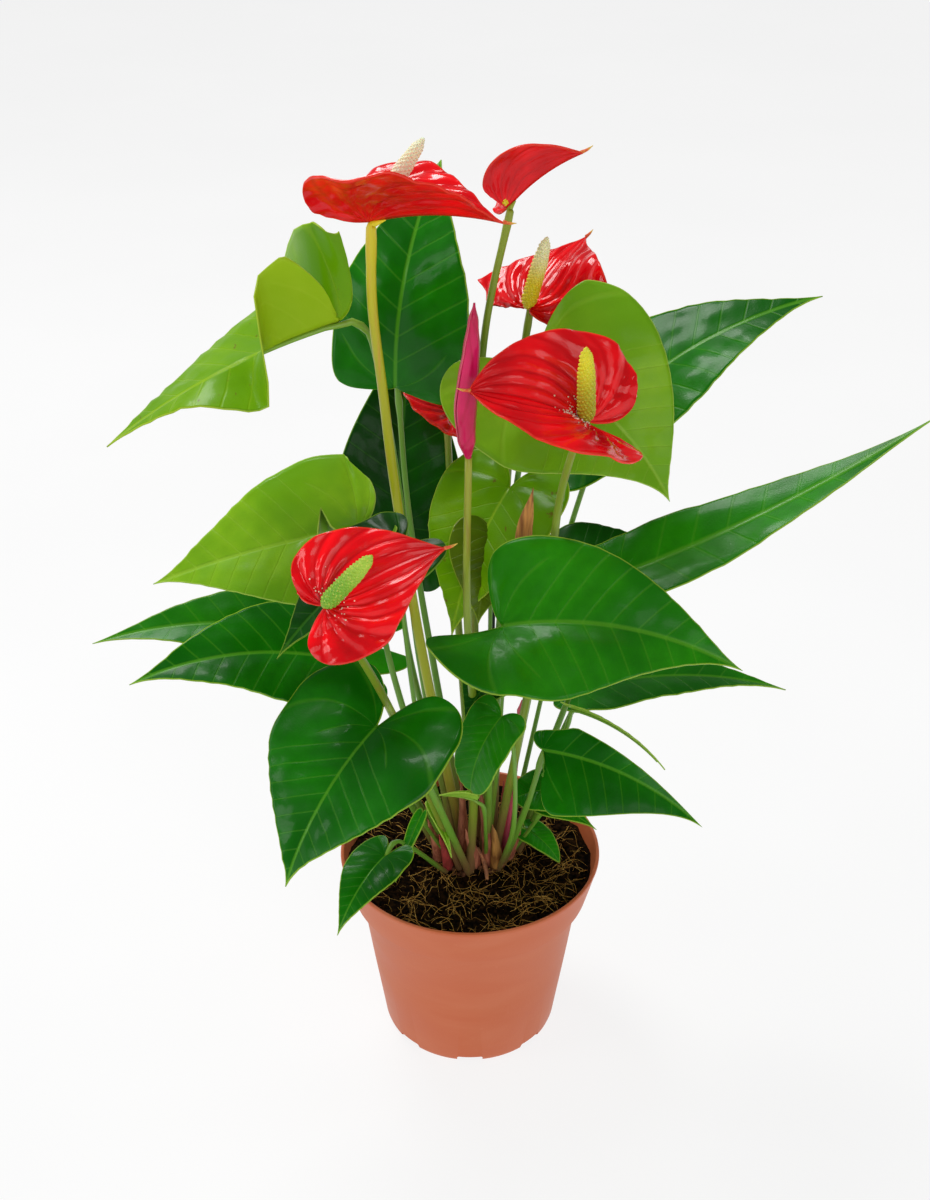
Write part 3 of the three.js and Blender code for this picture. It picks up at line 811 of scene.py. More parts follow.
def profile(stops: list[Pair], count: int) -> list[float]:
    """Join a few sizes smoothly along a path.

    Args:
        stops: Sizes in millimetres as (share of the path, size), in order.
        count: Number of stretches.

    Returns:
        `count` + 1 sizes in metres.
    """
    values = []
    for i in range(count + 1):
        share = i / count
        k = 0
        while k < len(stops) - 2 and stops[k + 1][0] < share:
            k += 1
        low, high = stops[k], stops[k + 1]
        values.append(blend(low[1], high[1], ease(low[0], high[0], share)) * MM)
    return values


# ---------------------------------------------------------------- heart-shaped sheets


class Relief(Enum):
    """How a sheet's surface swells between its veins."""

    LEAF = "leaf"
    SPATHE = "spathe"
    PLAIN = "plain"


# Shares of a sheet's rows, from tip to lobe end, where it is widest and where the lobes part.
WIDEST_AT = 0.55
SINUS_AT = 0.68
FLATTEST_ARCH = 0.004
PINCH_REACH = 0.45
BARB_REACH = 0.15
# Relief between the veins: heights in millimetres, noise scales in lumps per millimetre.
SPATHE_RIDGE = 1.25
SPATHE_PUCKER = 0.9
LEAF_RIDGE = 0.7
LEAF_PUCKER = 0.5
LOOSE_SCALE = 0.045
LOOSE_HEIGHT = 1.6
# The two halves ripple out of step by this angle, in radians.
HALVES_APART = 1.7
# A sheet whose half width is less than this, in millimetres, ripples less.
CALM_WIDTH = 30.0
# Beside the midrib a sheet lies still for about this many millimetres.
STILL_WIDTH = 8.0
# Feet of the stems: their height, and the middle of the crown they stand round.
FOOT_HEIGHT = 86.0
CROWN_MIDDLE = (4.0, 3.0)


@dataclass
class HeartSheet:
    """A heart-shaped sheet, drawn flat in shares of half width and length, then bent into place.

    A pair is for the left half and the right half, unless it says otherwise.

    Attributes:
        at: The joint, where the stem meets the sheet.
        tip: The sheet's tip.
        width: Half of its full width.
        wide: Where it is widest, in lengths from the joint.
        lobe: Where a lobe ends, as (half widths out, lengths back).
        lobes: How far back each lobe ends, in shares of `lobe`.
        lobes_out: How far out each lobe ends, in shares of `lobe`.
        halves: Width of each half, in shares of `width`.
        arch: Height of the arch from joint to tip, in lengths.
        lift: How far the lobes rise behind the joint.
        roll: Turn about the midrib, at the joint and at the tip.
        fold: How far each half is folded up at the joint.
        fold_tip: How far each half is folded up at the tip.
        curl: How far each half bends between the midrib and its rim.
        ripple: Waves of the rim, as (height, number of half waves).
        shoulder: Bluntness of the tip.
        pinch: Sharpness of each half where it is widest.
        barb: Sharpness of each lobe's end.
        bends: Folds along the sheet as (share, left, right), instead of `fold` and `fold_tip`.
        relief: How the surface swells between its veins.
        thickness: Thickness of the sheet.
        rows: Rows of faces along it.
        columns: Columns of faces in each half.
        seed: Place in the noise, so that no two sheets are alike.
        start: The joint as a vector.
        along: Direction from the joint to the tip.
        across: Direction to the right.
        upward: Direction out of the upper side.
        length: Distance from the joint to the tip.
    """

    at: Point
    tip: Point
    width: float
    wide: float = 0.16
    lobe: Pair = (0.5, 0.32)
    lobes: Pair = (1.0, 1.0)
    lobes_out: Pair = (1.0, 1.0)
    halves: Pair = (1.0, 1.0)
    arch: float = 0.08
    lift: float = 15.0
    roll: Pair = (0.0, 0.0)
    fold: Pair = (12.0, 12.0)
    fold_tip: Pair = (6.0, 6.0)
    curl: Pair = (-14.0, -14.0)
    ripple: Pair = (0.8, 5.0)
    shoulder: float = 0.05
    pinch: Pair = (0.0, 0.0)
    barb: Pair = (0.0, 0.0)
    bends: tuple[Point, ...] = ()
    relief: Relief = Relief.LEAF
    thickness: float = 0.6
    rows: int = 46
    columns: int = 16
    seed: float = 0.0
    start: Vector = field(init=False)
    along: Vector = field(init=False)
    across: Vector = field(init=False)
    upward: Vector = field(init=False)
    length: float = field(init=False)

    def __post_init__(self) -> None:
        """Work out the sheet's own axes from its joint and its tip."""
        self.start = Vector(self.at)
        chord = Vector(self.tip) - self.start
        self.length = chord.length
        self.along = chord.normalized()
        self.across = self.along.cross(Vector((0.0, 0.0, 1.0))).normalized()
        self.upward = self.across.cross(self.along)

    def lobe_end(self, side: int) -> Pair:
        """Return the flat point at the bottom of one lobe."""
        return self.lobe[0] * self.lobes_out[side], -self.lobe[1] * self.lobes[side]

    def margin(self, share: float, side: int) -> Pair:
        """Return the outer edge's flat point.

        Args:
            share: 0 at the tip, 1 at the bottom of the lobe.
            side: 0 for the left half, 1 for the right.

        Returns:
            Across in half widths, along in lengths.
        """
        low = self.lobe_end(side)
        if share < WIDEST_AT:
            rise = (1.0 - self.wide) * 0.4
            curve = [(0.0, 1.0), (self.shoulder, 0.78 + self.shoulder * 0.3),
                     (0.92 - PINCH_REACH * self.pinch[side], self.wide + rise), (1.0, self.wide)]
            return bezier(curve, share / WIDEST_AT)
        drop = (self.wide - low[1]) * 0.6
        round_off = 1.0 - self.barb[side]
        curve = [(1.0, self.wide), (1.0 - PINCH_REACH * self.pinch[side], self.wide - drop),
                 (low[0] + 0.35 * round_off, low[1] + BARB_REACH * self.barb[side]), low]
        return bezier(curve, (share - WIDEST_AT) / (1.0 - WIDEST_AT))

    def inner(self, share: float, side: int) -> Pair:
        """Return the inner edge's flat point, on the midrib or past it between the lobes.

        Args:
            share: 0 at the tip, 1 at the bottom of the lobe.
            side: 0 for the left half, 1 for the right.

        Returns:
            Across in half widths, along in lengths.
        """
        if share <= SINUS_AT:
            return 0.0, 1.0 - share / SINUS_AT
        low = self.lobe_end(side)
        near = max(0.0, low[0] - 0.25)
        curve = [(0.0, 0.0), (0.03, 0.35 * low[1]), (near, low[1] + BARB_REACH * self.barb[side]), low]
        return bezier(curve, (share - SINUS_AT) / (1.0 - SINUS_AT))

    def fold_at(self, share: float, side: int) -> float:
        """Return how far one half is folded up.

        Args:
            share: Place along the sheet, 0 at the joint and 1 at the tip.
            side: 0 for the left half, 1 for the right.

        Returns:
            The fold in degrees.
        """
        if not self.bends:
            return blend(self.fold[side], self.fold_tip[side], limit(share))
        k = 0
        while k < len(self.bends) - 2 and self.bends[k + 1][0] < share:
            k += 1
        low, high = self.bends[k], self.bends[k + 1]
        return blend(low[1 + side], high[1 + side], ease(low[0], high[0], share))

    def swell(self, x: float, y: float) -> float:
        """Return how far the surface stands out between the veins.

        Args:
            x: Across, in millimetres, positive on the right half.
            y: Along, in millimetres, 0 at the joint.

        Returns:
            Height in millimetres.
        """
        if self.relief is Relief.PLAIN:
            return 0.0
        across = abs(x) / self.length
        along = y / self.length
        angle = math.atan2(across, across * across + along * along - along)
        turned = 1.0 - angle / math.pi
        if self.relief is Relief.SPATHE:
            ridge = 1.0 - abs(math.cos(math.pi * turned * SPATHE_VEINS)) ** 2.2
            pucker = noise.noise(Vector((x * 0.3, y * 0.13, self.seed))) * SPATHE_PUCKER
            return (SPATHE_RIDGE * ridge + pucker) * limit(across * 9.0) * limit(1.25 - along)
        slope = along - across * VEIN_SLOPE
        upper = ease(0.0, SIDE_VEINS_FROM, slope)
        side = 0.5 - 0.5 * math.cos(2 * math.pi * slope * SIDE_VEINS)
        basal = 0.5 - 0.5 * math.cos(2 * math.pi * turned * BASAL_VEINS)
        fade = limit(across * 14.0)
        pucker = noise.noise(Vector((x * 0.16, y * 0.16, self.seed))) * LEAF_PUCKER
        return fade * (LEAF_RIDGE * blend(basal, side, upper) + pucker)

    def bend(self, x: float, y: float) -> Vector:
        """Bend a flat point into the arched, folded and rolled sheet.

        Args:
            x: Across, in millimetres, positive on the right half.
            y: Along, in millimetres, 0 at the joint.

        Returns:
            The point in metres.
        """
        # The midrib is an arc from joint to tip; behind the joint a lobe bends back on its own.
        arch = math.copysign(max(FLATTEST_ARCH, abs(self.arch)), self.arch)
        sag = arch * self.length
        radius = (self.length**2 / 4 + sag * sag) / (2 * sag)
        half = math.asin(self.length / 2 / radius)
        share = y / self.length
        angle = blend(-half, half, share)
        along = self.length / 2 + radius * math.sin(angle)
        up = radius * (math.cos(angle) - math.cos(half))
        if y < 0:
            back = -share / self.lobe[1]
            lift = math.radians(self.lift)
            mean = -half + lift * back * 0.5
            angle = -half + lift * back
            along = y * math.cos(mean)
            up = -y * math.sin(mean)
        # Across the midrib each half folds up and curls, with its ripple and relief on top.
        side = 0 if x < 0 else 1
        fold = self.fold_at(share, side)
        reach = abs(x)
        mean = math.radians(fold + self.curl[side] * reach / (2 * self.width))
        wave = math.sin(self.ripple[1] * share * math.pi + side * HALVES_APART + self.seed)
        calm = limit(self.width / CALM_WIDTH)
        drift = Vector((x * LOOSE_SCALE, y * LOOSE_SCALE, self.seed * 7.3))
        loose = noise.noise(drift) * LOOSE_HEIGHT * calm * limit(reach / STILL_WIDTH)
        height = self.ripple[0] * calm * wave * (reach / self.width) ** 2 + loose
        height += self.swell(x, y) * calm + reach * math.sin(mean)
        sideways = math.copysign(reach * math.cos(mean), x)
        roll = math.radians(blend(self.roll[0], self.roll[1], limit(share)))
        normal = self.along * math.sin(angle) + self.upward * math.cos(angle)
        point = self.start + self.along * along + self.upward * up
        point += self.across * (sideways * math.cos(roll) - height * math.sin(roll))
        point += normal * (sideways * math.sin(roll) + height * math.cos(roll))
        return point * MM

    def mesh(self) -> bmesh.types.BMesh:
        """Build both halves as grids and bend them.

        Returns:
            The sheet, with its flat coordinates stored on its vertices.
        """
        sheet = bmesh.new()
        flat = sheet.verts.layers.float_vector.new("flat")
        for side, sign in enumerate((-1.0, 1.0)):
            known = set(sheet.faces)
            grid = bmesh.ops.create_grid(sheet, x_segments=self.columns, y_segments=self.rows, size=1.0)
            half = self.width * self.halves[side]
            for vert in grid["verts"]:
                out = (vert.co.x + 1.0) / 2
                down = 1.0 - (vert.co.y + 1.0) / 2
                inner = self.inner(down, side)
                outer = self.margin(down, side)
                x = blend(inner[0], outer[0], out) * half
                y = blend(inner[1], outer[1], out) * self.length
                to_rim = math.dist((x, y), (outer[0] * half, outer[1] * self.length))
                if down > SINUS_AT:
                    inward = math.dist((x, y), (inner[0] * half, inner[1] * self.length))
                    to_rim = min(to_rim, inward)
                vert[flat] = Vector((sign * x / self.length, y / self.length, to_rim))
                vert.co = self.bend(sign * x, y)
            if sign < 0:
                fresh = [face for face in sheet.faces if face not in known]
                bmesh.ops.reverse_faces(sheet, faces=fresh)
        bmesh.ops.remove_doubles(sheet, verts=sheet.verts, dist=2 * NEAR)
        bmesh.ops.dissolve_degenerate(sheet, dist=NEAR, edges=sheet.edges)
        return sheet

    def normal(self) -> Vector:
        """Find which way the upper side faces at the joint.

        Returns:
            A unit vector.
        """
        right = self.bend(3.0, 4.0) - self.bend(-3.0, 4.0)
        ahead = self.bend(0.0, 8.0) - self.bend(0.0, 0.5)
        return right.cross(ahead).normalized()

    def facing(self, share: float) -> Vector:
        """Find which way the upper side faces along the midrib.

        Args:
            share: Place on the midrib, 0 at the joint and 1 at the tip.

        Returns:
            A unit vector.
        """
        y = self.length * share
        right = self.bend(1.5, y) - self.bend(-1.5, y)
        ahead = self.bend(0.0, y + 1.0) - self.bend(0.0, y - 1.0)
        return right.cross(ahead).normalized()

    def piece(self, name: str, finishes: list[Finish], slot: str, nodes: list[str]) -> bpy.types.Object:
        """Build the sheet as a piece with real thickness and a second finish on its back.

        Args:
            name: The piece's name.
            finishes: The upper side's finish, then the underside's.
            slot: The record's material slot; it is not used.
            nodes: CAD nodes it stands for.

        Returns:
            The sheet's object.
        """
        made = finish_piece(name, self.mesh(), finishes, nodes)
        wall = made.modifiers.new("thickness", "SOLIDIFY")
        wall.thickness = self.thickness * MM
        wall.offset = -1.0
        wall.use_quality_normals = True
        wall.material_offset = len(finishes) - 1
        return made


@dataclass
class Stem:
    """Smooth stem from the soil to a sheet's joint, which runs on as the rib under the sheet.

    Attributes:
        sheet: The sheet it holds.
        foot: Where it rises from the soil, before the feet are drawn in to the crown.
        via: Points it passes on its way up.
        radii: Radius above its foot and under the sheet.
        finish: Its finish.
        rib: How far it runs on under the sheet, in lengths of the sheet.
        knee: Swelling below the joint, in shares of the upper radius.
        knee_length: Length of the swollen stretch.
        gather: How far the feet are drawn in, across and along.
        sides: Sides of its section.
        rib_steps: Stretches of the rib.
    """

    sheet: HeartSheet
    foot: Pair
    via: list[Point]
    radii: Pair
    finish: Finish
    rib: float = 0.9
    knee: float = 1.35
    knee_length: float = 13.0
    gather: Pair = (0.62, 0.5)
    sides: int = 12
    rib_steps: int = 14

    def build(self, name: str, nodes: list[str]) -> bpy.types.Object:
        """Build the stem.

        Args:
            name: The piece's name.
            nodes: The CAD nodes it stands for.

        Returns:
            The stem's object.
        """
        sheet = self.sheet
        normal = sheet.normal()
        top = sheet.start * MM - normal * (sheet.thickness + self.radii[1] * 0.9) * MM
        foot = [middle + out * share for middle, out, share in zip(CROWN_MIDDLE, self.foot, self.gather)]
        route = [metres((*foot, FOOT_HEIGHT)), *map(metres, self.via), top]
        path = spline(route, 12 + 10 * len(self.via) + 12)
        length = sum((b - a).length for a, b in zip(path, path[1:])) / MM
        knee = max(0.6, 1.0 - self.knee_length / length)
        radii = profile([(0.0, self.radii[0] * 1.2), (0.1, self.radii[0]), (knee, self.radii[1]),
                         (blend(knee, 1.0, 0.4), self.radii[1] * self.knee),
                         (1.0, self.radii[1])], len(path) - 1)
        if self.rib:
            for i in range(1, self.rib_steps + 1):
                share = i / self.rib_steps
                thick = blend(self.radii[1] * 0.85, 0.25, share)
                below = (sheet.thickness + thick * 0.45) * MM
                middle = sheet.bend(0.0, sheet.length * self.rib * share)
                path.append(middle - sheet.facing(share * self.rib) * below)
                radii.append(thick * MM)
        mesh = bmesh.new()
        tube(mesh, path, radii, self.sides)
        return finish_piece(name, mesh, [self.finish], nodes)


class Nodes(Enum):
    """CAD nodes that a leaf stands for: blade and stem apart, both in one, or none."""

    TWO = "blade and stem"
    ONE = "one for both"
    NONE = "none"


@dataclass
class Leaf:
    """A leaf: its heart-shaped blade and the stem that holds it."""

    name: str
    blade: HeartSheet
    foot: Pair
    via: list[Point]
    upper: Finish = Finish.DARK_LEAF
    under: Finish = Finish.DARK_BACK
    stem: Finish = Finish.GREEN_STEM
    slot: str = "dark_leaf"
    radii: Pair = (1.7, 1.2)
    nodes: Nodes = Nodes.TWO

    def build(self) -> None:
        """Build the blade and its stem."""
        own = [] if self.nodes is Nodes.NONE else [self.name]
        self.blade.piece(self.name, [self.upper, self.under], self.slot, own)
        held = [f"{self.name}_stem"] if self.nodes is Nodes.TWO else own
        Stem(self.blade, self.foot, self.via, self.radii, self.stem).build(f"{self.name}_stem", held)


@dataclass
class Spadix:
    """Tapering spike set with tiny round flowers in two crossing spirals."""

    name: str
    base: Vector
    tip: Vector
    finish: Finish
    bow: Vector
    radius: float = 3.0
    flowers: int = 300
    flower_radius: float = 0.72
    rows: int = 24
    sides: int = 20

    def build(self) -> None:
        """Build the spadix body and its flowers as one piece."""
        middle = (self.base + self.tip) / 2 + self.bow
        path = spline([self.base, middle, self.tip], self.rows)
        stops = [(0.0, 1.6), (0.12, self.radius), (0.6, self.radius * 0.97), (0.88, self.radius * 0.72),
                 (1.0, 0.5)]
        radii = profile(stops, self.rows)
        mesh = bmesh.new()
        tube(mesh, path, radii, self.sides)
        run = mesh.verts.layers.float.get("run")
        frames = frames_along(path)
        golden = math.pi * (3.0 - math.sqrt(5.0))
        for k in range(self.flowers):
            share = 0.05 + 0.94 * (k + 0.5) / self.flowers
            place = share * self.rows
            low = min(self.rows - 1, int(place))
            centre = path[low].lerp(path[low + 1], place - low)
            around = Matrix.Rotation(k * golden, 3, "Z") @ Vector((1.0, 0.0, 0.0))
            out = frames[low].to_3x3() @ around
            radius = blend(radii[low], radii[low + 1], place - low)
            size = self.flower_radius * MM * blend(1.0, 0.62, ease(0.7, 1.0, share))
            ball = bmesh.ops.create_icosphere(mesh, subdivisions=1, radius=size)["verts"]
            bmesh.ops.translate(mesh, verts=ball, vec=centre + out * (radius - size * 0.25))
            for vert in ball:
                vert[run] = share
        finish_piece(self.name, mesh, [self.finish], [self.name])


@dataclass
class Flower:
    """A flower: its spathe, its spadix and its stalk."""

    name: str
    spathe: HeartSheet
    foot: Pair
    via: list[Point]
    spadix_tip: Point
    spadix: Finish
    stalk: Finish = Finish.OLIVE_STALK
    bow: Point = (0.0, 0.0, 0.0)
    radii: Pair = (1.9, 1.5)
    spadix_radius: float = 3.0
    pollen: int = 0
    rib: float = 0.12
    knee: float = 1.15

    def dust(self) -> None:
        """Strew the grains of pollen on the spathe, round the foot of the spadix."""
        rng = random.Random(self.pollen)
        mesh = bmesh.new()
        mesh.verts.layers.float.new("run")
        for _ in range(self.pollen):
            x = rng.gauss(0.0, 4.0)
            y = abs(rng.gauss(3.0, 4.0))
            place = self.spathe.bend(x, y) + self.spathe.facing(y / self.spathe.length) * 0.15 * MM
            grain = bmesh.ops.create_icosphere(mesh, subdivisions=1, radius=rng.uniform(0.15, 0.4) * MM)
            bmesh.ops.translate(mesh, verts=grain["verts"], vec=place)
        finish_piece(f"{self.name}_pollen", mesh, [Finish.CREAM_SPADIX], [])

    def build(self) -> None:
        """Build the pollen, the spathe, the spadix, the stalk and the spathe's short tail."""
        if self.pollen:
            self.dust()
        self.spathe.piece(f"{self.name}_spathe", [Finish.RED_SPATHE, Finish.RED_BACK], "red_spathe",
                          [f"{self.name}_spathe"])
        base = self.spathe.start * MM + self.spathe.normal() * 1.0 * MM
        Spadix(f"{self.name}_spadix", base, metres(self.spadix_tip), self.spadix, metres(self.bow),
               self.spadix_radius).build()
        Stem(self.spathe, self.foot, self.via, self.radii, self.stalk, self.rib, self.knee).build(
            f"{self.name}_stalk", [f"{self.name}_stalk"])
        end = self.spathe.bend(0.0, self.spathe.length * 0.985)
        ahead = (end - self.spathe.bend(0.0, self.spathe.length * 0.93)).normalized()
        mesh = bmesh.new()
        tail = [end, end + ahead * 2.5 * MM, end + ahead * 5.0 * MM + Vector((0.0, 0.0, 0.6 * MM))]
        tube(mesh, spline(tail, 8), profile([(0.0, 0.75), (0.5, 0.55), (1.0, 0.15)], 8), 8)
        finish_piece(f"{self.name}_spathe_tail", mesh, [Finish.TAIL], [])


# ---------------------------------------------------------------- pot and ground

# Heights of the pot's rim and of the peat, and where the crown stands in the peat.
POT_HEIGHT = 97.0
SOIL_TOP = 89.0
CROWN = (0.0, 4.0)
CROWN_RADIUS = 17.0
CRUMB_TURN = 6.28


@dataclass
class Pot:
    """Tapered nursery pot with a rounded rim, a plain band and drain notches round its foot.

    Attributes:
        segments: Faces round the pot.
        base_radius: Radius at its foot.
        body_top_radius: Radius just under the band.
        band_foot_radius: Radius at the band's lower edge.
        rim_radius: Radius at the rim.
        band_height: Height of the band.
        wall: Thickness of the wall.
        notches: Number of drain notches.
        notch_depth: Size of a notch through the wall.
        notch_width: Its size round the foot.
        notch_height: Its size up the wall.
        notch_round: Rounding of its edges.
        crease: Angle in degrees past which an edge stays crisp.
    """

    segments: int = 128
    base_radius: float = 41.0
    body_top_radius: float = 51.0
    band_foot_radius: float = 55.0
    rim_radius: float = 60.0
    band_height: float = 21.0
    wall: float = 1.8
    notches: int = 8
    notch_depth: float = 9.0
    notch_width: float = 12.0
    notch_height: float = 3.5
    notch_round: float = 0.8
    crease: float = 38.0

    def outline(self) -> list[Pair]:
        """Draw the wall's section.

        Returns:
            Points as (radius, height), from the middle of the base outside to its middle inside.
        """
        foot = POT_HEIGHT - self.band_height
        base = self.base_radius
        return [
            (0.0, 0.0), (base - 3.0, 0.0), (base - 1.6, 0.25), (base - 0.6, 1.2), (base, 3.0),
            (blend(base, self.body_top_radius, 0.5), foot / 2),
            (self.body_top_radius - 0.1, foot - 1.6), (self.body_top_radius + 0.6, foot - 0.6),
            (self.band_foot_radius - 0.9, foot), (self.band_foot_radius - 0.2, foot + 0.4),
            (self.band_foot_radius + 0.1, foot + 1.3),
            (blend(self.band_foot_radius, self.rim_radius, 0.5), foot + self.band_height * 0.5),
            (self.rim_radius - 0.5, POT_HEIGHT - 2.2), (self.rim_radius - 0.1, POT_HEIGHT - 1.2),
            (self.rim_radius - 0.25, POT_HEIGHT - 0.35), (self.rim_radius - 0.9, POT_HEIGHT),
            (self.rim_radius - 1.6, POT_HEIGHT - 0.25), (self.rim_radius - 1.9, POT_HEIGHT - 0.9),
            (self.band_foot_radius - self.wall, foot + 1.6),
            (self.body_top_radius - self.wall, foot), (base - self.wall, 4.0),
            (base - self.wall - 2.0, 2.0), (0.0, 2.0),
        ]

    def build(self) -> None:
        """Spin the wall, then cut the drain notches out of its foot."""
        mesh = bmesh.new()
        verts = [mesh.verts.new(metres((radius, 0.0, height))) for radius, height in self.outline()]
        edges = [mesh.edges.new(pair) for pair in zip(verts, verts[1:])]
        bmesh.ops.spin(mesh, geom=verts + edges, axis=(0, 0, 1), cent=(0, 0, 0), angle=2 * math.pi,
                       steps=self.segments, use_merge=True, use_duplicate=False)
        bmesh.ops.remove_doubles(mesh, verts=mesh.verts, dist=NEAR)
        bmesh.ops.recalc_face_normals(mesh, faces=mesh.faces)
        pot = finish_piece("flower_pot", mesh, [Finish.POT], ["pot"])
        cutters = bmesh.new()
        for k in range(self.notches):
            turned = Matrix.Rotation(2 * math.pi * k / self.notches - math.pi / 2, 4, "Z")
            moved = turned @ Matrix.Translation(metres((self.base_radius, 0.0, 0.0)))
            size = Matrix.Diagonal((self.notch_depth * MM, self.notch_width * MM,
                                    self.notch_height * 2 * MM, 1.0))
            block = bmesh.ops.create_cube(cutters, size=1.0, matrix=moved @ size)
            bmesh.ops.bevel(cutters, geom=edges_of(block["verts"]), offset=self.notch_round * MM,
                            offset_type="OFFSET", affect="EDGES", segments=3, profile=0.5, material=-1,
                            profile_type="SUPERELLIPSE")
        data = bpy.data.meshes.new("notch_cutters")
        cutters.to_mesh(data)
        cutters.free()
        tool = bpy.data.objects.new("notch_cutters", data)
        bpy.context.collection.objects.link(tool)
        cut = pot.modifiers.new("notches", "BOOLEAN")
        cut.operation = "DIFFERENCE"
        cut.solver = "EXACT"
        cut.object = tool
        graph = bpy.context.evaluated_depsgraph_get()
        carved = bpy.data.meshes.new_from_object(pot.evaluated_get(graph))
        pot.modifiers.clear()
        pot.data = carved
        bpy.data.objects.remove(tool)
        carved.polygons.foreach_set("use_smooth", [True] * len(carved.polygons))
        carved.set_sharp_from_angle(angle=math.radians(self.crease))


@dataclass
class Ground:
    """Peat surface, its crumbs and coir fibres, and the knobbly crown the stems rise from.

    Attributes:
        radius: Radius of the peat where it meets the pot.
        rings: Rings of faces from its middle to its edge.
        spokes: Faces in each ring.
        skirt: How far the peat's edge goes down inside the pot.
        skirt_taper: Width of the skirt's foot, in shares of its top.
        crumbs: Number of crumbs.
        crumb_reach: How far from the middle they lie.
        fibres: Number of tries to lay a fibre.
        fibre_reach: How far from the middle a fibre's own middle lies.
        wall_reach: How far from the middle any part of a fibre may lie.
        stubs: Number of stem stubs in the crown.
        stub_turn: Turn from one stub to the next, in radians.
    """

    radius: float = 56.6
    rings: int = 44
    spokes: int = 120
    skirt: float = 9.0
    skirt_taper: float = 0.965
    crumbs: int = 620
    crumb_reach: float = 54.5
    fibres: int = 820
    fibre_reach: float = 52.0
    wall_reach: float = 55.0
    stubs: int = 64
    stub_turn: float = 2.39996

    def height(self, x: float, y: float) -> float:
        """Return the peat's height at a place, in millimetres.

        Args:
            x: Distance to the right of the pot's middle.
            y: Distance behind the pot's middle.

        Returns:
            Height above the table.
        """
        away = math.hypot(x - CROWN[0], y - CROWN[1])
        rough = limit((away - CROWN_RADIUS - 2.0) / 8.0)
        waves = 1.2 * math.sin(x * 0.21 + 1.0) * math.cos(y * 0.17) + 0.5 * math.sin(x * 0.4 - y * 0.3)
        fine = noise.fractal(Vector((x * 0.16, y * 0.16, 3.0)), 0.7, 2.1, 5)
        return SOIL_TOP + rough * waves + 1.1 * fine

    def surface(self) -> None:
        """Build the lumpy peat surface with a skirt that goes down inside the pot."""
        mesh = bmesh.new()
        bmesh.ops.create_circle(mesh, segments=self.spokes, radius=self.radius * MM, cap_ends=True)
        for _ in range(1, self.rings):
            inner = [face for face in mesh.faces if len(face.verts) == self.spokes]
            bmesh.ops.inset_individual(mesh, faces=inner, thickness=self.radius * MM / (self.rings + 0.5))
        for vert in mesh.verts:
            x, y = vert.co.x / MM, vert.co.y / MM
            vert.co.z = self.height(x, y) * MM
        rim = [edge for edge in mesh.edges if edge.is_boundary]
        skirt = bmesh.ops.extrude_edge_only(mesh, edges=rim)["geom"]
        for vert in (item for item in skirt if isinstance(item, bmesh.types.BMVert)):
            vert.co.x *= self.skirt_taper
            vert.co.y *= self.skirt_taper
            vert.co.z -= self.skirt * MM
        bottom = [edge for edge in mesh.edges if edge.is_boundary]
        bmesh.ops.holes_fill(mesh, edges=bottom, sides=0)
        bmesh.ops.recalc_face_normals(mesh, faces=mesh.faces)
        finish_piece("peat", mesh, [Finish.SOIL], ["potting_soil"])

    def scatter(self, rng: random.Random, reach: float) -> Pair:
        """Pick a place on the peat.

        Args:
            rng: The source of chance.
            reach: How far from the pot's middle it may be, in millimetres.

        Returns:
            The place as (right, behind), in millimetres.
        """
        away = reach * math.sqrt(rng.random())
        turn = rng.random() * 2 * math.pi
        return away * math.cos(turn), away * math.sin(turn)

    def crumble(self) -> None:
        """Scatter dark crumbs of peat over the surface."""
        rng = random.Random(PEAT_SEED)
        mesh = bmesh.new()
        for _ in range(self.crumbs):
            x, y = self.scatter(rng, self.crumb_reach)
            size = rng.uniform(0.5, 1.7) * (1.35 if rng.random() < 0.12 else 1.0)
            crumb = bmesh.ops.create_icosphere(mesh, subdivisions=1, radius=size * MM)["verts"]
            for vert in crumb:
                vert.co *= rng.uniform(0.65, 1.3)
            spin = Matrix.Rotation(rng.random() * CRUMB_TURN, 4, Vector((rng.random(), rng.random(), 1.0)))
            flat = Matrix.Diagonal((rng.uniform(0.8, 1.5), 1.0, rng.uniform(0.55, 0.9), 1.0))
            place = Matrix.Translation(metres((x, y, self.height(x, y) + size * 0.3)))
            bmesh.ops.transform(mesh, matrix=place @ spin @ flat, verts=crumb)
        finish_piece("peat_crumbs", mesh, [Finish.SOIL], [])

    def strew(self) -> None:
        """Lay thin golden coir fibres over the surface, more of them in front and to the right."""
        rng = random.Random(PEAT_SEED + 1)
        mesh = bmesh.new()
        for _ in range(self.fibres):
            x, y = self.scatter(rng, self.fibre_reach)
            right, front = limit((x + 20.0) / 60.0), limit((10.0 - y) / 50.0)
            if rng.random() > 0.45 + 0.3 * right + 0.35 * front:
                continue
            reach = rng.uniform(2.5, 16.0)
            turn = rng.random() * 2 * math.pi
            bend = rng.uniform(-0.9, 0.9)
            points = []
            for i in range(5):
                share = i / 4 - 0.5
                angle = turn + bend * share
                px = x + math.cos(angle) * reach * share
                py = y + math.sin(angle) * reach * share
                away = math.hypot(px, py)
                if away > self.wall_reach:
                    px, py = px * self.wall_reach / away, py * self.wall_reach / away
                lift = 0.5 + rng.uniform(0.0, 1.1) + (0.8 if i in (1, 2) else 0.0)
                points.append(metres((px, py, self.height(px, py) + lift)))
            thick = rng.uniform(0.04, 0.13) * MM
            tube(mesh, spline(points, 6), [thick] * 7, 3)
        finish_piece("coir_fibres", mesh, [Finish.FIBRE], [])

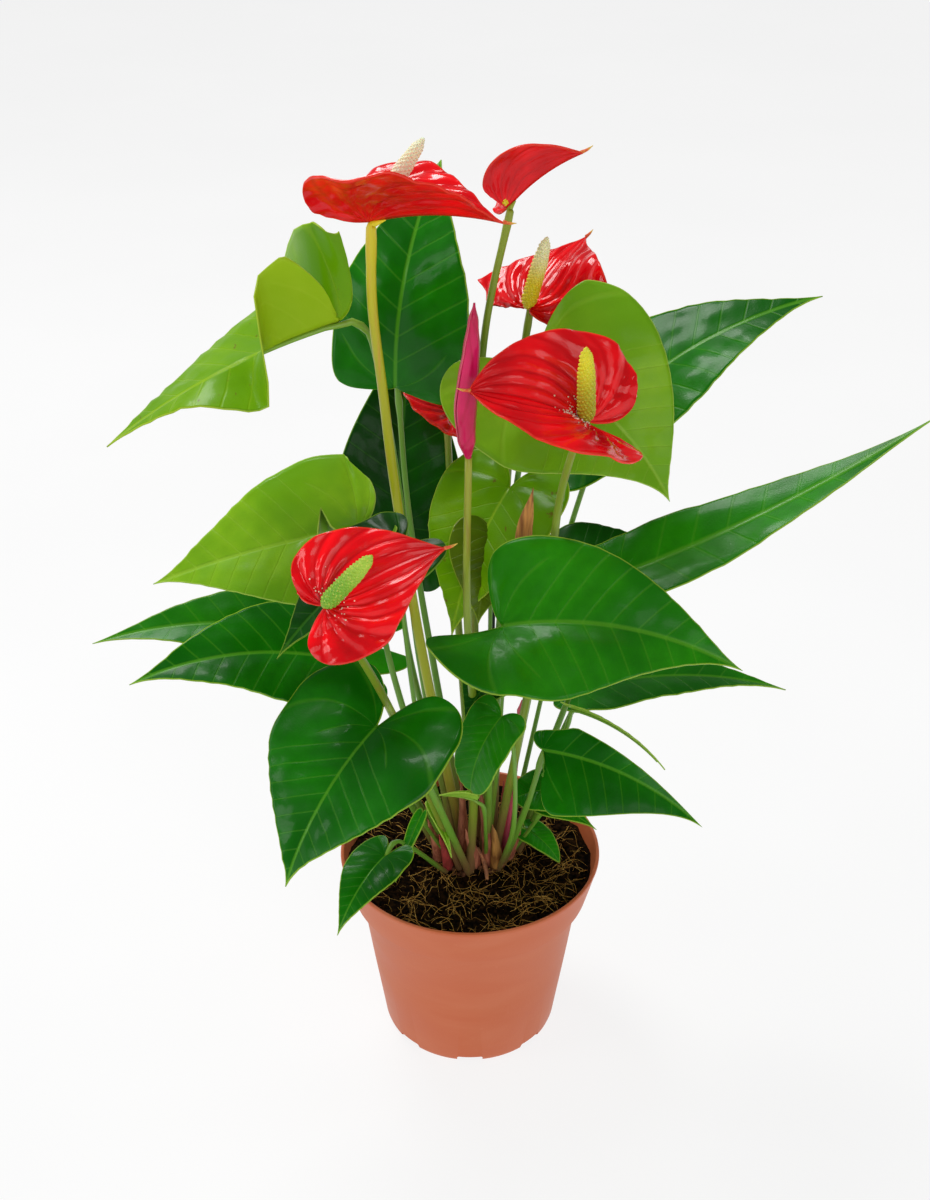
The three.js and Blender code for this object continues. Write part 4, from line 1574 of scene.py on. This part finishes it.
    def crown(self) -> None:
        """Build the crown as a low dome of knobbly stem stubs."""
        rng = random.Random(PEAT_SEED + 2)
        mesh = bmesh.new()
        for k in range(self.stubs):
            away = CROWN_RADIUS * 0.95 * math.sqrt((k + 0.5) / self.stubs)
            turn = k * self.stub_turn
            x = CROWN[0] + away * math.cos(turn)
            y = CROWN[1] + away * math.sin(turn)
            height = SOIL_TOP + 5.5 * (1 - (away / CROWN_RADIUS) ** 2) + rng.uniform(-1.0, 2.0)
            lean = Vector((x - CROWN[0], y - CROWN[1], 0.0)) * 0.05
            points = [metres((x, y, SOIL_TOP - 3.0)), metres((x + lean.x, y + lean.y, height))]
            size = rng.uniform(1.5, 2.6)
            radii = profile([(0.0, size * 1.3), (0.7, size), (0.93, size * 0.9), (1.0, size * 0.45)], 8)
            tube(mesh, spline(points, 8), radii, 8)
        finish_piece("plant_crown", mesh, [Finish.BARK], ["crown"])

    def build(self) -> None:
        """Build the ground's pieces."""
        self.surface()
        self.crumble()
        self.strew()
        self.crown()


@dataclass
class Roll:
    """A young spathe still rolled round its spadix, one edge lapping over the other."""

    path: list[Point]
    radii: list[Pair]
    laps: float = 1.3
    rows: int = 48
    columns: int = 40
    thickness: float = 0.5

    def build(self, name: str) -> None:
        """Build the roll from a sheet wound round its path.

        Args:
            name: The piece's name, which is its CAD node's too.
        """
        line = spline([metres(point) for point in self.path], self.rows)
        frames = frames_along(line)
        widths = profile(self.radii, self.rows)
        mesh = bmesh.new()
        flat = mesh.verts.layers.float_vector.new("flat")
        grid = bmesh.ops.create_grid(mesh, x_segments=self.columns, y_segments=self.rows, size=1.0)
        for vert in grid["verts"]:
            around = (vert.co.x + 1.0) / 2
            k = round((vert.co.y + 1.0) / 2 * self.rows)
            share = k / self.rows
            turn = math.pi * (0.35 + 2 * self.laps * around) + share * 1.1
            lap = 0.82 + 0.2 * around + 0.03 * math.sin(turn * 7.0)
            spot = Vector((math.cos(turn), math.sin(turn), 0.0)) * widths[k] * lap
            vert.co = frames[k] @ spot
            vert[flat] = Vector((around * 0.5, share, 40.0 * (1.0 - around)))
        piece = finish_piece(name, mesh, [Finish.PINK_SPATHE], [name])
        wall = piece.modifiers.new("thickness", "SOLIDIFY")
        wall.thickness = self.thickness * MM
        wall.offset = -1.0


@dataclass
class Rod:
    """A plain round piece that follows a path, such as the stake, the bud or a root."""

    name: str
    path: list[Point]
    radii: list[Pair]
    finish: Finish
    slot: str
    nodes: list[str] = field(default_factory=list)
    sides: int = 14
    count: int = 36

    def build(self) -> None:
        """Build the rod."""
        mesh = bmesh.new()
        tube(mesh, spline([metres(point) for point in self.path], self.count),
             profile(self.radii, self.count), self.sides)
        finish_piece(self.name, mesh, [self.finish], self.nodes)


# ---------------------------------------------------------------- plant


def spathe(at: Point, tip: Point, width: float, **shape: object) -> HeartSheet:
    """Draw a spathe, with the shape that most of them share.

    Args:
        at: The joint.
        tip: The tip.
        width: Half of its full width.
        **shape: The sheet's other fields, where they differ.

    Returns:
        The spathe's sheet.
    """
    common = dict(wide=0.2, lobe=(0.45, 0.4), arch=0.06, relief=Relief.SPATHE, thickness=0.8,
                  rows=64, columns=30, ripple=(0.5, 4.0))
    return HeartSheet(at, tip, width, **{**common, **shape})


def big_leaves() -> list[Leaf]:
    """Give the shape, place and finish of each large leaf.

    Returns:
        The fourteen leaves whose blade and stem are CAD nodes of their own.
    """
    young = dict(upper=Finish.YOUNG_LEAF, under=Finish.YOUNG_BACK, slot="young_leaf")
    pale = dict(upper=Finish.PALE_LEAF, under=Finish.PALE_BACK, slot="mid_leaf")
    return [
        Leaf("upper_left_leaf",
             HeartSheet((-50, -5, 357), (-139, -30, 316), 36, arch=0.05, lobe=(0.6, 0.12),
                        lobes=(-0.1, 2.2), lobes_out=(0.15, 1.3),
                        wide=0.13, halves=(1.0, 1.1), pinch=(0.7, 0.0), barb=(0.0, 1.0),
                        bends=((-0.15, 80, 94), (0.0, 74, 84), (0.12, 80, 30), (0.22, 82, 8),
                               (0.42, -38, 4), (0.66, -4, -2), (1.0, 0, 0)),
                        seed=1),
             (-16, 1), [(-22, 2, 200), (-28, 3, 270), (-37, 0, 340), (-43, -3, 355)], **young),
        Leaf("tall_back_leaf",
             HeartSheet((-31, 30, 314), (-12, 68, 398), 35, arch=0.12, lobe=(0.6, 0.03), wide=0.28,
                        halves=(0.85, 1.0), shoulder=0.2, roll=(0, 12), seed=2),
             (-8, 13), [(-24, 22, 240)]),
        Leaf("shaded_back_leaf",
             HeartSheet((-32, 46, 242), (-26, 92, 322), 28, arch=0.06, roll=(-10, -10), seed=3),
             (-14, 20), [(-28, 38, 180)], upper=Finish.SHADED_LEAF),
        Leaf("left_glossy_leaf",
             HeartSheet((-46, -14, 272), (-128, -26, 253), 33, arch=0.03, lobe=(0.5, 0.2), lift=40,
                        roll=(42, 32), bends=((-0.2, 138, 10), (0.08, 118, 10), (0.3, 14, 10), (1.0, 4, 6)),
                        seed=4),
             (-20, -8), [(-33, -11, 200), (-40, -13, 250)], **pale),
        Leaf("low_left_back_leaf",
             HeartSheet((-60, 20, 200), (-163, 2, 207), 21, arch=0.08, roll=(25, 25), seed=5),
             (-25, 12), [(-46, 18, 160)], upper=Finish.GREEN_LEAF),
        Leaf("low_left_leaf",
             HeartSheet((-54, -18, 211), (-138, -45, 217), 27, arch=0.1, roll=(25, 25),
                        lobe=(0.5, 0.2), seed=6),
             (-26, 0), [(-42, -10, 165)]),
        Leaf("front_heart_leaf",
             HeartSheet((-37, -75, 217), (-71, -115, 171), 40, arch=0.1, seed=7),
             (-6, -22), [(-20, -50, 175)]),
        Leaf("right_front_leaf",
             HeartSheet((12, -60, 254), (102, -82, 248), 34, arch=0.1, roll=(-48, -35), lobe=(0.5, 0.28),
                        lobes=(0.15, 1.0), seed=8,
                        bends=((-0.3, 12, 70), (0.05, 12, 34), (0.35, 12, 10), (1.0, 6, 6))),
             (6, -13), [(9, -29, 190)], upper=Finish.GREEN_LEAF),
        Leaf("right_upper_leaf",
             HeartSheet((58, 55, 290), (150, 70, 339), 32, arch=0.08, roll=(-20, -20), seed=9),
             (15, 27), [(38, 46, 210)]),
        Leaf("right_broad_leaf",
             HeartSheet((27, 10, 332), (79, -18, 286), 43, arch=0.1, roll=(-45, -45), lobes=(0.25, 1.1),
                        seed=10),
             (9, 10), [(14, 16, 220), (22, 14, 300)], **pale),
        Leaf("long_right_leaf",
             HeartSheet((62, -8, 247), (185, 0, 315), 18, arch=-0.03, roll=(-20, -10), lobe=(0.5, 0.16),
                        fold=(20, 10), seed=11),
             (23, 13), [(47, 3, 190)], upper=Finish.GREEN_LEAF),
        Leaf("middle_young_leaf",
             HeartSheet((16, 8, 279), (-8, -26, 228), 30, arch=0.1, lobe=(0.5, 0.2), seed=12),
             (3, 4), [(11, 7, 190)], **young),
        Leaf("low_right_back_leaf",
             HeartSheet((50, 22, 170), (144, 26, 167), 19, arch=0.08, roll=(-5, -5),
                        lobe=(0.45, 0.14), seed=13),
             (28, 16), [(38, 20, 135)], upper=Finish.GREEN_LEAF),
        Leaf("low_right_leaf",
             HeartSheet((31, -25, 170), (98, -50, 148), 20, arch=0.1, roll=(-44, -38), lobe=(0.45, 0.12),
                        lobes=(0.6, -0.3), halves=(0.6, 1.35), pinch=(0.9, 0.0), seed=14),
             (17, -9), [(25, -19, 135)]),
    ]


def small_leaves() -> list[Leaf]:
    """Give the shape, place and finish of each small leaf.

    Returns:
        Six that are each one CAD node with their stem, then seven that have no node.
    """
    pale = dict(upper=Finish.PALE_LEAF, under=Finish.PALE_BACK)
    thin = dict(nodes=Nodes.ONE, radii=(1.2, 0.9))
    extra = dict(nodes=Nodes.NONE, radii=(1.1, 0.8))
    return [
        Leaf("behind_flower_leaf",
             HeartSheet((-29, -38, 276), (-73, -80, 252), 21, arch=0.08, roll=(10, 10),
                        lobe=(0.5, 0.22), seed=15),
             (-14, -9), [(-21, -18, 170), (-27, -33, 240)], upper=Finish.SHADED_LEAF, **thin),
        Leaf("right_shaded_leaf",
             HeartSheet((42, 28, 226), (92, 40, 229), 22, arch=0.1, roll=(-25, -25),
                        lobe=(0.5, 0.18), seed=16),
             (22, 22), [(34, 27, 170)], upper=Finish.SHADED_LEAF, **thin),
        Leaf("slender_right_leaf",
             HeartSheet((45, -3, 177), (85, -20, 156), 7, arch=0.1, roll=(38, 38),
                        lobe=(0.5, 0.12), seed=17),
             (30, 8), [(38, 3, 140)], **pale, **thin),
        Leaf("round_middle_leaf",
             HeartSheet((12.5, -46, 202), (0, -56, 172), 15, arch=0.12, lobe=(0.6, 0.15),
                        shoulder=0.85, seed=18),
             (14, -17), [(19, -27, 130), (18, -40, 180)], upper=Finish.GREEN_LEAF, **thin),
        Leaf("rim_leaf",
             HeartSheet((-37, -46, 129), (-56, -77, 112), 13, arch=0.12, lobe=(0.5, 0.25), seed=19),
             (-22, -20), [(-27, -28, 120), (-33, -38, 130)], **thin),
        Leaf("soil_leaf",
             HeartSheet((26, 0, 107), (41, -13, 98), 8, arch=0.12, lobe=(0.5, 0.2), shoulder=0.35, seed=20),
             (22, 4), [(23.5, 2, 105)], upper=Finish.GREEN_LEAF, **thin),
        Leaf("round_young_leaf",
             HeartSheet((38, -10, 137), (20, -12, 134), 11, arch=0.1, roll=(28, 28), lobe=(0.5, 0.1),
                        shoulder=0.8, seed=31),
             (20, 2), [(33, -4, 120)], upper=Finish.GREEN_LEAF, **extra),
        Leaf("low_slender_leaf",
             HeartSheet((32, -12, 131), (56, -24, 126), 6, arch=0.08, roll=(-20, -20),
                        lobe=(0.5, 0.1), seed=32),
             (18, -4), [(28, -8, 115)], upper=Finish.GREEN_LEAF, **extra),
        Leaf("left_narrow_leaf",
             HeartSheet((-21, -22, 134), (-33, -42, 111), 3.5, arch=0.04, fold=(30, 30),
                        fold_tip=(20, 20), lobe=(0.4, 0.05), seed=33),
             (-16, -8), [(-19, -16, 120)], upper=Finish.GREEN_LEAF, **extra),
        Leaf("pale_pointed_leaf",
             HeartSheet((-18, -20, 138), (-8, -28, 113), 3.5, arch=0.05, fold=(20, 20),
                        fold_tip=(20, 20), lobe=(0.4, 0.05), seed=34),
             (-12, -6), [(-16, -14, 120)], **pale, **extra),
        Leaf("folded_young_leaf",
             HeartSheet((3, -20, 140), (-14, -17, 140), 4, arch=0.06, roll=(-30, -30), fold=(45, 45),
                        fold_tip=(30, 30), lobe=(0.4, 0.05), seed=35),
             (6, -8), [(7, -16, 118), (6, -19, 134)], **pale, **extra),
        Leaf("lower_shaded_leaf",
             HeartSheet((14, -20, 210), (-3, -40, 195), 15, arch=0.1, lobe=(0.5, 0.2), seed=36),
             (6, -4), [(12, -10, 150)], upper=Finish.SHADED_LEAF, **extra),
        Leaf("olive_inner_leaf",
             HeartSheet((9, -8, 265), (3, -30, 236), 17, arch=0.1, roll=(12, 12), lobe=(0.5, 0.2), seed=37),
             (4, 2), [(8, -2, 190)], upper=Finish.OLIVE_LEAF, under=Finish.YOUNG_BACK, slot="mid_leaf",
             **extra),
    ]


def flowers() -> list[Flower]:
    """Give the shape, place and finish of each open flower.

    Returns:
        The six flowers, from the top left round to the dark one at the back.
    """
    return [
        Flower("top_left",
               spathe((-37, -14, 399), (12, -25, 402), 33, lift=5, lobes=(0.6, 0.95),
                      bends=((-0.3, 24, 62), (0.1, 28, 50), (0.6, 26, 50), (1.0, 14, 40)), seed=21),
               (-9, 1), [(-20, -2, 200), (-30, -6, 282), (-34, -11, 330), (-37, -13, 366)], (-17, -10, 428),
               Finish.CREAM_SPADIX, Finish.GOLDEN_STALK, radii=(2.2, 1.9)),
        Flower("top_right",
               spathe((14, 27, 391), (42, 22, 414), 17, fold=(20, 82), fold_tip=(10, 70),
                      lobe=(0.4, 0.2), lobes=(1.0, 0.1), wide=0.36, shoulder=0.3, seed=22),
               (2, 18), [(2, 30, 200), (3, 36, 285), (6, 30, 340)], (13, 31, 407),
               Finish.YELLOW_SPADIX, spadix_radius=2.0),
        Flower("right_back",
               spathe((23.5, 42, 344), (49, 74, 364), 32, lobes=(0.1, 0.2), halves=(1.1, 1.1),
                      pinch=(1.0, 0.0), seed=23,
                      bends=((-0.2, -2, -14), (0.15, -2, 6), (0.5, 0, 26), (1.0, 0, 12))),
               (11, 18), [(14, 30, 200), (17, 39, 285)], (30, 30, 378), Finish.YELLOW_SPADIX),
        Flower("right_front",
               spathe((41, -55, 338), (-1, -64, 354), 31, roll=(38, 38), fold=(46, 30), fold_tip=(20, 14),
                      shoulder=0.35, seed=24),
               (11, -4), [(22, -20, 180), (31, -33, 260), (34, -40, 300)], (39, -74, 374),
               Finish.OLIVE_SPADIX, pollen=190),
        Flower("left_front",
               spathe((-52, -96, 285), (-9, -88, 304), 25, roll=(-45, -45), lobe=(0.45, 0.24), fold=(8, 8),
                      lobes=(0.6, 1.0), halves=(0.92, 1.0), shoulder=0.15, seed=25),
               (-12, -16), [(-31, -64, 216)], (-34, -112, 314), Finish.GREEN_SPADIX,
               pollen=60),
        Flower("back_dark",
               spathe((-9, 40, 299), (-36, 54, 313), 17, seed=26),
               (-2, 22), [(-6, 34, 210)], (-14, 50, 320), Finish.OLIVE_SPADIX, spadix_radius=2.2),
    ]


@dataclass(frozen=True)
class Bract:
    """One papery sheath that stands round the stems' feet: its foot, its top and its half width."""

    name: str
    foot: Point
    top: Point
    width: float
    finish: Finish = Finish.BRACT

    def build(self) -> None:
        """Build it as a bowed spike that thins to a point."""
        middle = tuple((a + b) / 2 for a, b in zip(self.foot, self.top))
        bowed = (middle[0] + 0.8, middle[1] - 0.8, middle[2])
        radii = [(0.0, self.width * 1.15), (0.35, self.width), (0.75, self.width * 0.6), (1.0, 0.25)]
        Rod(f"{self.name}_sheath", [self.foot, bowed, self.top], radii, self.finish, "dry_paper",
            sides=12, count=24).build()


BRACTS = (
    Bract("rosy_left", (-14, 0, 90), (-19, -12, 122), 2.6),
    Bract("rosy_left_front", (-10, -6, 90), (-14, -15, 116), 2.2, Finish.ROSY),
    Bract("brown_middle", (-4, 0, 91), (-4, -9, 142), 2.4),
    Bract("brown_middle_low", (2, -6, 91), (-2, -14, 118), 2.8),
    Bract("tan_front", (9, -4, 91), (4, -14, 142), 2.7),
    Bract("tan_front_low", (12, -6, 91), (10, -13, 120), 2.6, Finish.SHEATH),
    Bract("rosy_back", (14, 3, 92), (15, -6, 139), 2.1, Finish.ROSY),
    Bract("tan_right", (18, 0, 91), (23, -6, 118), 2.0),
)


@dataclass
class Oddments:
    """The furled spathe and its stalk, the low bud, the sheaths, the aerial root and the stake."""

    furled: Roll = field(default_factory=lambda: Roll(
        [(-1, -50, 319), (-2, -50, 340), (0, -48, 362), (1, -47, 380)],
        [(0.0, 0.9), (0.16, 3.5), (0.36, 4.3), (0.55, 3.9), (0.72, 3.2), (0.88, 2.1), (1.0, 0.4)]))
    dry_sheath: HeartSheet = field(default_factory=lambda: HeartSheet(
        (22.5, -31, 274), (24, -29, 298), 5, arch=0.03, fold=(30, 30), fold_tip=(20, 20),
        curl=(30, 30), lobe=(0.5, 0.1), relief=Relief.PLAIN, thickness=0.4, rows=30, columns=8))

    def build(self) -> None:
        """Build each of them."""
        self.furled.build("furled_spathe")
        Rod("furled_spathe_stalk", [(0, -8, FOOT_HEIGHT), (2, -24, 170), (-1.5, -43, 252), (-1, -50, 321)],
            [(0.0, 2.4), (0.1, 2.0), (1.0, 1.4)], Finish.OLIVE_STALK, "green_stem",
            ["furled_spathe_stalk"]).build()
        Rod("low_bud", [(15, 0, FOOT_HEIGHT), (19, -4, 130), (22, -6, 172), (22.5, -6, 183)],
            [(0.0, 1.5), (0.3, 1.2), (0.86, 1.0), (0.9, 1.7), (0.94, 2.1), (1.0, 0.3)],
            Finish.PINK_SPATHE, "pink_spathe", ["low_bud"]).build()
        for bract in BRACTS:
            bract.build()
        Rod("aerial_root", [(3, -2, 97), (6, -7, 95), (7.5, -12, 91.5), (8, -16, 88)],
            [(0.0, 1.3), (0.5, 1.1), (0.85, 0.9), (1.0, 0.5)], Finish.ROOT, "crown_bark",
            count=24).build()
        Rod("support_stake", [(9, 27, 88), (10, 28, 300)], [(0.0, 1.6), (0.99, 1.6), (1.0, 1.3)],
            Finish.STAKE, "stake_plastic", ["support_stake"]).build()
        self.dry_sheath.piece("dry_sheath", [Finish.SHEATH], "dry_paper", ["dry_sheath"])


# ---------------------------------------------------------------- stage


@dataclass(frozen=True)
class Lamp:
    """A soft square lamp: its place, its aim and its side in metres, and its power in watts."""

    name: str
    place: Point
    aim: Point
    size: float
    power: float

    def build(self) -> None:
        """Hang the lamp and turn it to its aim."""
        data = bpy.data.lights.new(self.name, "AREA")
        data.size = self.size
        data.energy = self.power
        lamp = bpy.data.objects.new(self.name, data)
        lamp.location = self.place
        turn = (Vector(self.aim) - Vector(self.place)).to_track_quat("-Z", "Y")
        lamp.rotation_euler = turn.to_euler()
        bpy.context.collection.objects.link(lamp)


LAMPS = (
    Lamp("overhead_softbox", (-0.45, 0.55, 1.45), (0.0, 0.0, 0.25), 0.5, 13.0),
    Lamp("front_fill", (0.45, -1.5, 1.1), (0.0, 0.0, 0.2), 1.0, 8.0),
    Lamp("left_window", (-1.4, -0.4, 0.8), (0.0, 0.0, 0.25), 0.5, 4.0),
)
WHITE = (1.0, 1.0, 1.0, 1.0)


@dataclass
class Stage:
    """Pale floor with a low far lip, soft studio light and the camera. Sizes are in metres.

    Attributes:
        radius: Radius of the floor.
        lip: Height of its raised edge, which keeps a horizon out of low views.
        tone: Lightness of the floor's paper.
        glow: Its own light, which keeps it evenly pale.
        sky: Strength of the light from all round.
        stand: Where the camera stands.
        tilt: The camera's turn up from looking straight down, in degrees.
        lens: Length of its lens in millimetres, on a film 36 mm wide.
    """

    radius: float = 12.0
    lip: float = 2.5
    tone: float = 0.14
    glow: float = 0.84
    sky: float = 0.22
    stand: Point = (-0.0023, -0.6056, 0.591)
    tilt: float = 59.2
    lens: float = 50.0

    def floor(self) -> None:
        """Build the wide, evenly lit floor."""
        mesh = bmesh.new()
        bmesh.ops.create_circle(mesh, cap_ends=True, segments=64, radius=self.radius)
        edge = [side for side in mesh.edges if side.is_boundary]
        raised = bmesh.ops.extrude_edge_only(mesh, edges=edge)["geom"]
        lip = [item for item in raised if isinstance(item, bmesh.types.BMVert)]
        bmesh.ops.translate(mesh, verts=lip, vec=(0.0, 0.0, self.lip))
        data = bpy.data.meshes.new("floor")
        mesh.to_mesh(data)
        mesh.free()
        graph = Graph("floor_paper")
        grain = graph.step(graph.cloud(graph.place(), 3.0), 0.3, 0.7)
        colour = graph.mix(grain, (self.tone,) * 3, (self.tone + 0.02,) * 3)
        data.materials.append(graph.surface(colour, 0.9, Emission_Color=WHITE,
                                            Emission_Strength=self.glow, Specular_IOR_Level=0.0))
        floor = bpy.data.objects.new("floor", data)
        bpy.context.collection.objects.link(floor)

    def light(self) -> None:
        """Hang the lamps and light the studio evenly from all round."""
        for lamp in LAMPS:
            lamp.build()
        world = bpy.data.worlds.new("studio")
        world.use_nodes = True
        back = world.node_tree.nodes["Background"]
        back.inputs["Color"].default_value = WHITE
        back.inputs["Strength"].default_value = self.sky
        bpy.context.scene.world = world
        bpy.context.scene.view_settings.view_transform = "Standard"

    def camera(self) -> None:
        """Add the camera, which looks down at the plant from the front."""
        data = bpy.data.cameras.new("camera")
        data.lens = self.lens
        data.sensor_width = 36.0
        data.sensor_fit = "AUTO"
        data.clip_start = 0.01
        data.clip_end = 50.0
        camera = bpy.data.objects.new("camera", data)
        camera.location = self.stand
        camera.rotation_euler = (math.radians(self.tilt), 0.0, 0.0)
        bpy.context.collection.objects.link(camera)
        bpy.context.scene.camera = camera

    def build(self) -> None:
        """Set the floor, the light and the camera."""
        self.floor()
        self.light()
        self.camera()


def main() -> None:
    """Build the plant and its stage in order, and note the size of the finished model."""
    logging.basicConfig(level=logging.INFO, format="%(message)s")
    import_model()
    Pot().build()
    Ground().build()
    for part in [*big_leaves(), *small_leaves(), *flowers(), Oddments()]:
        part.build()
    Stage().build()
    log.info("stage set")


if __name__ == "__main__":
    main()
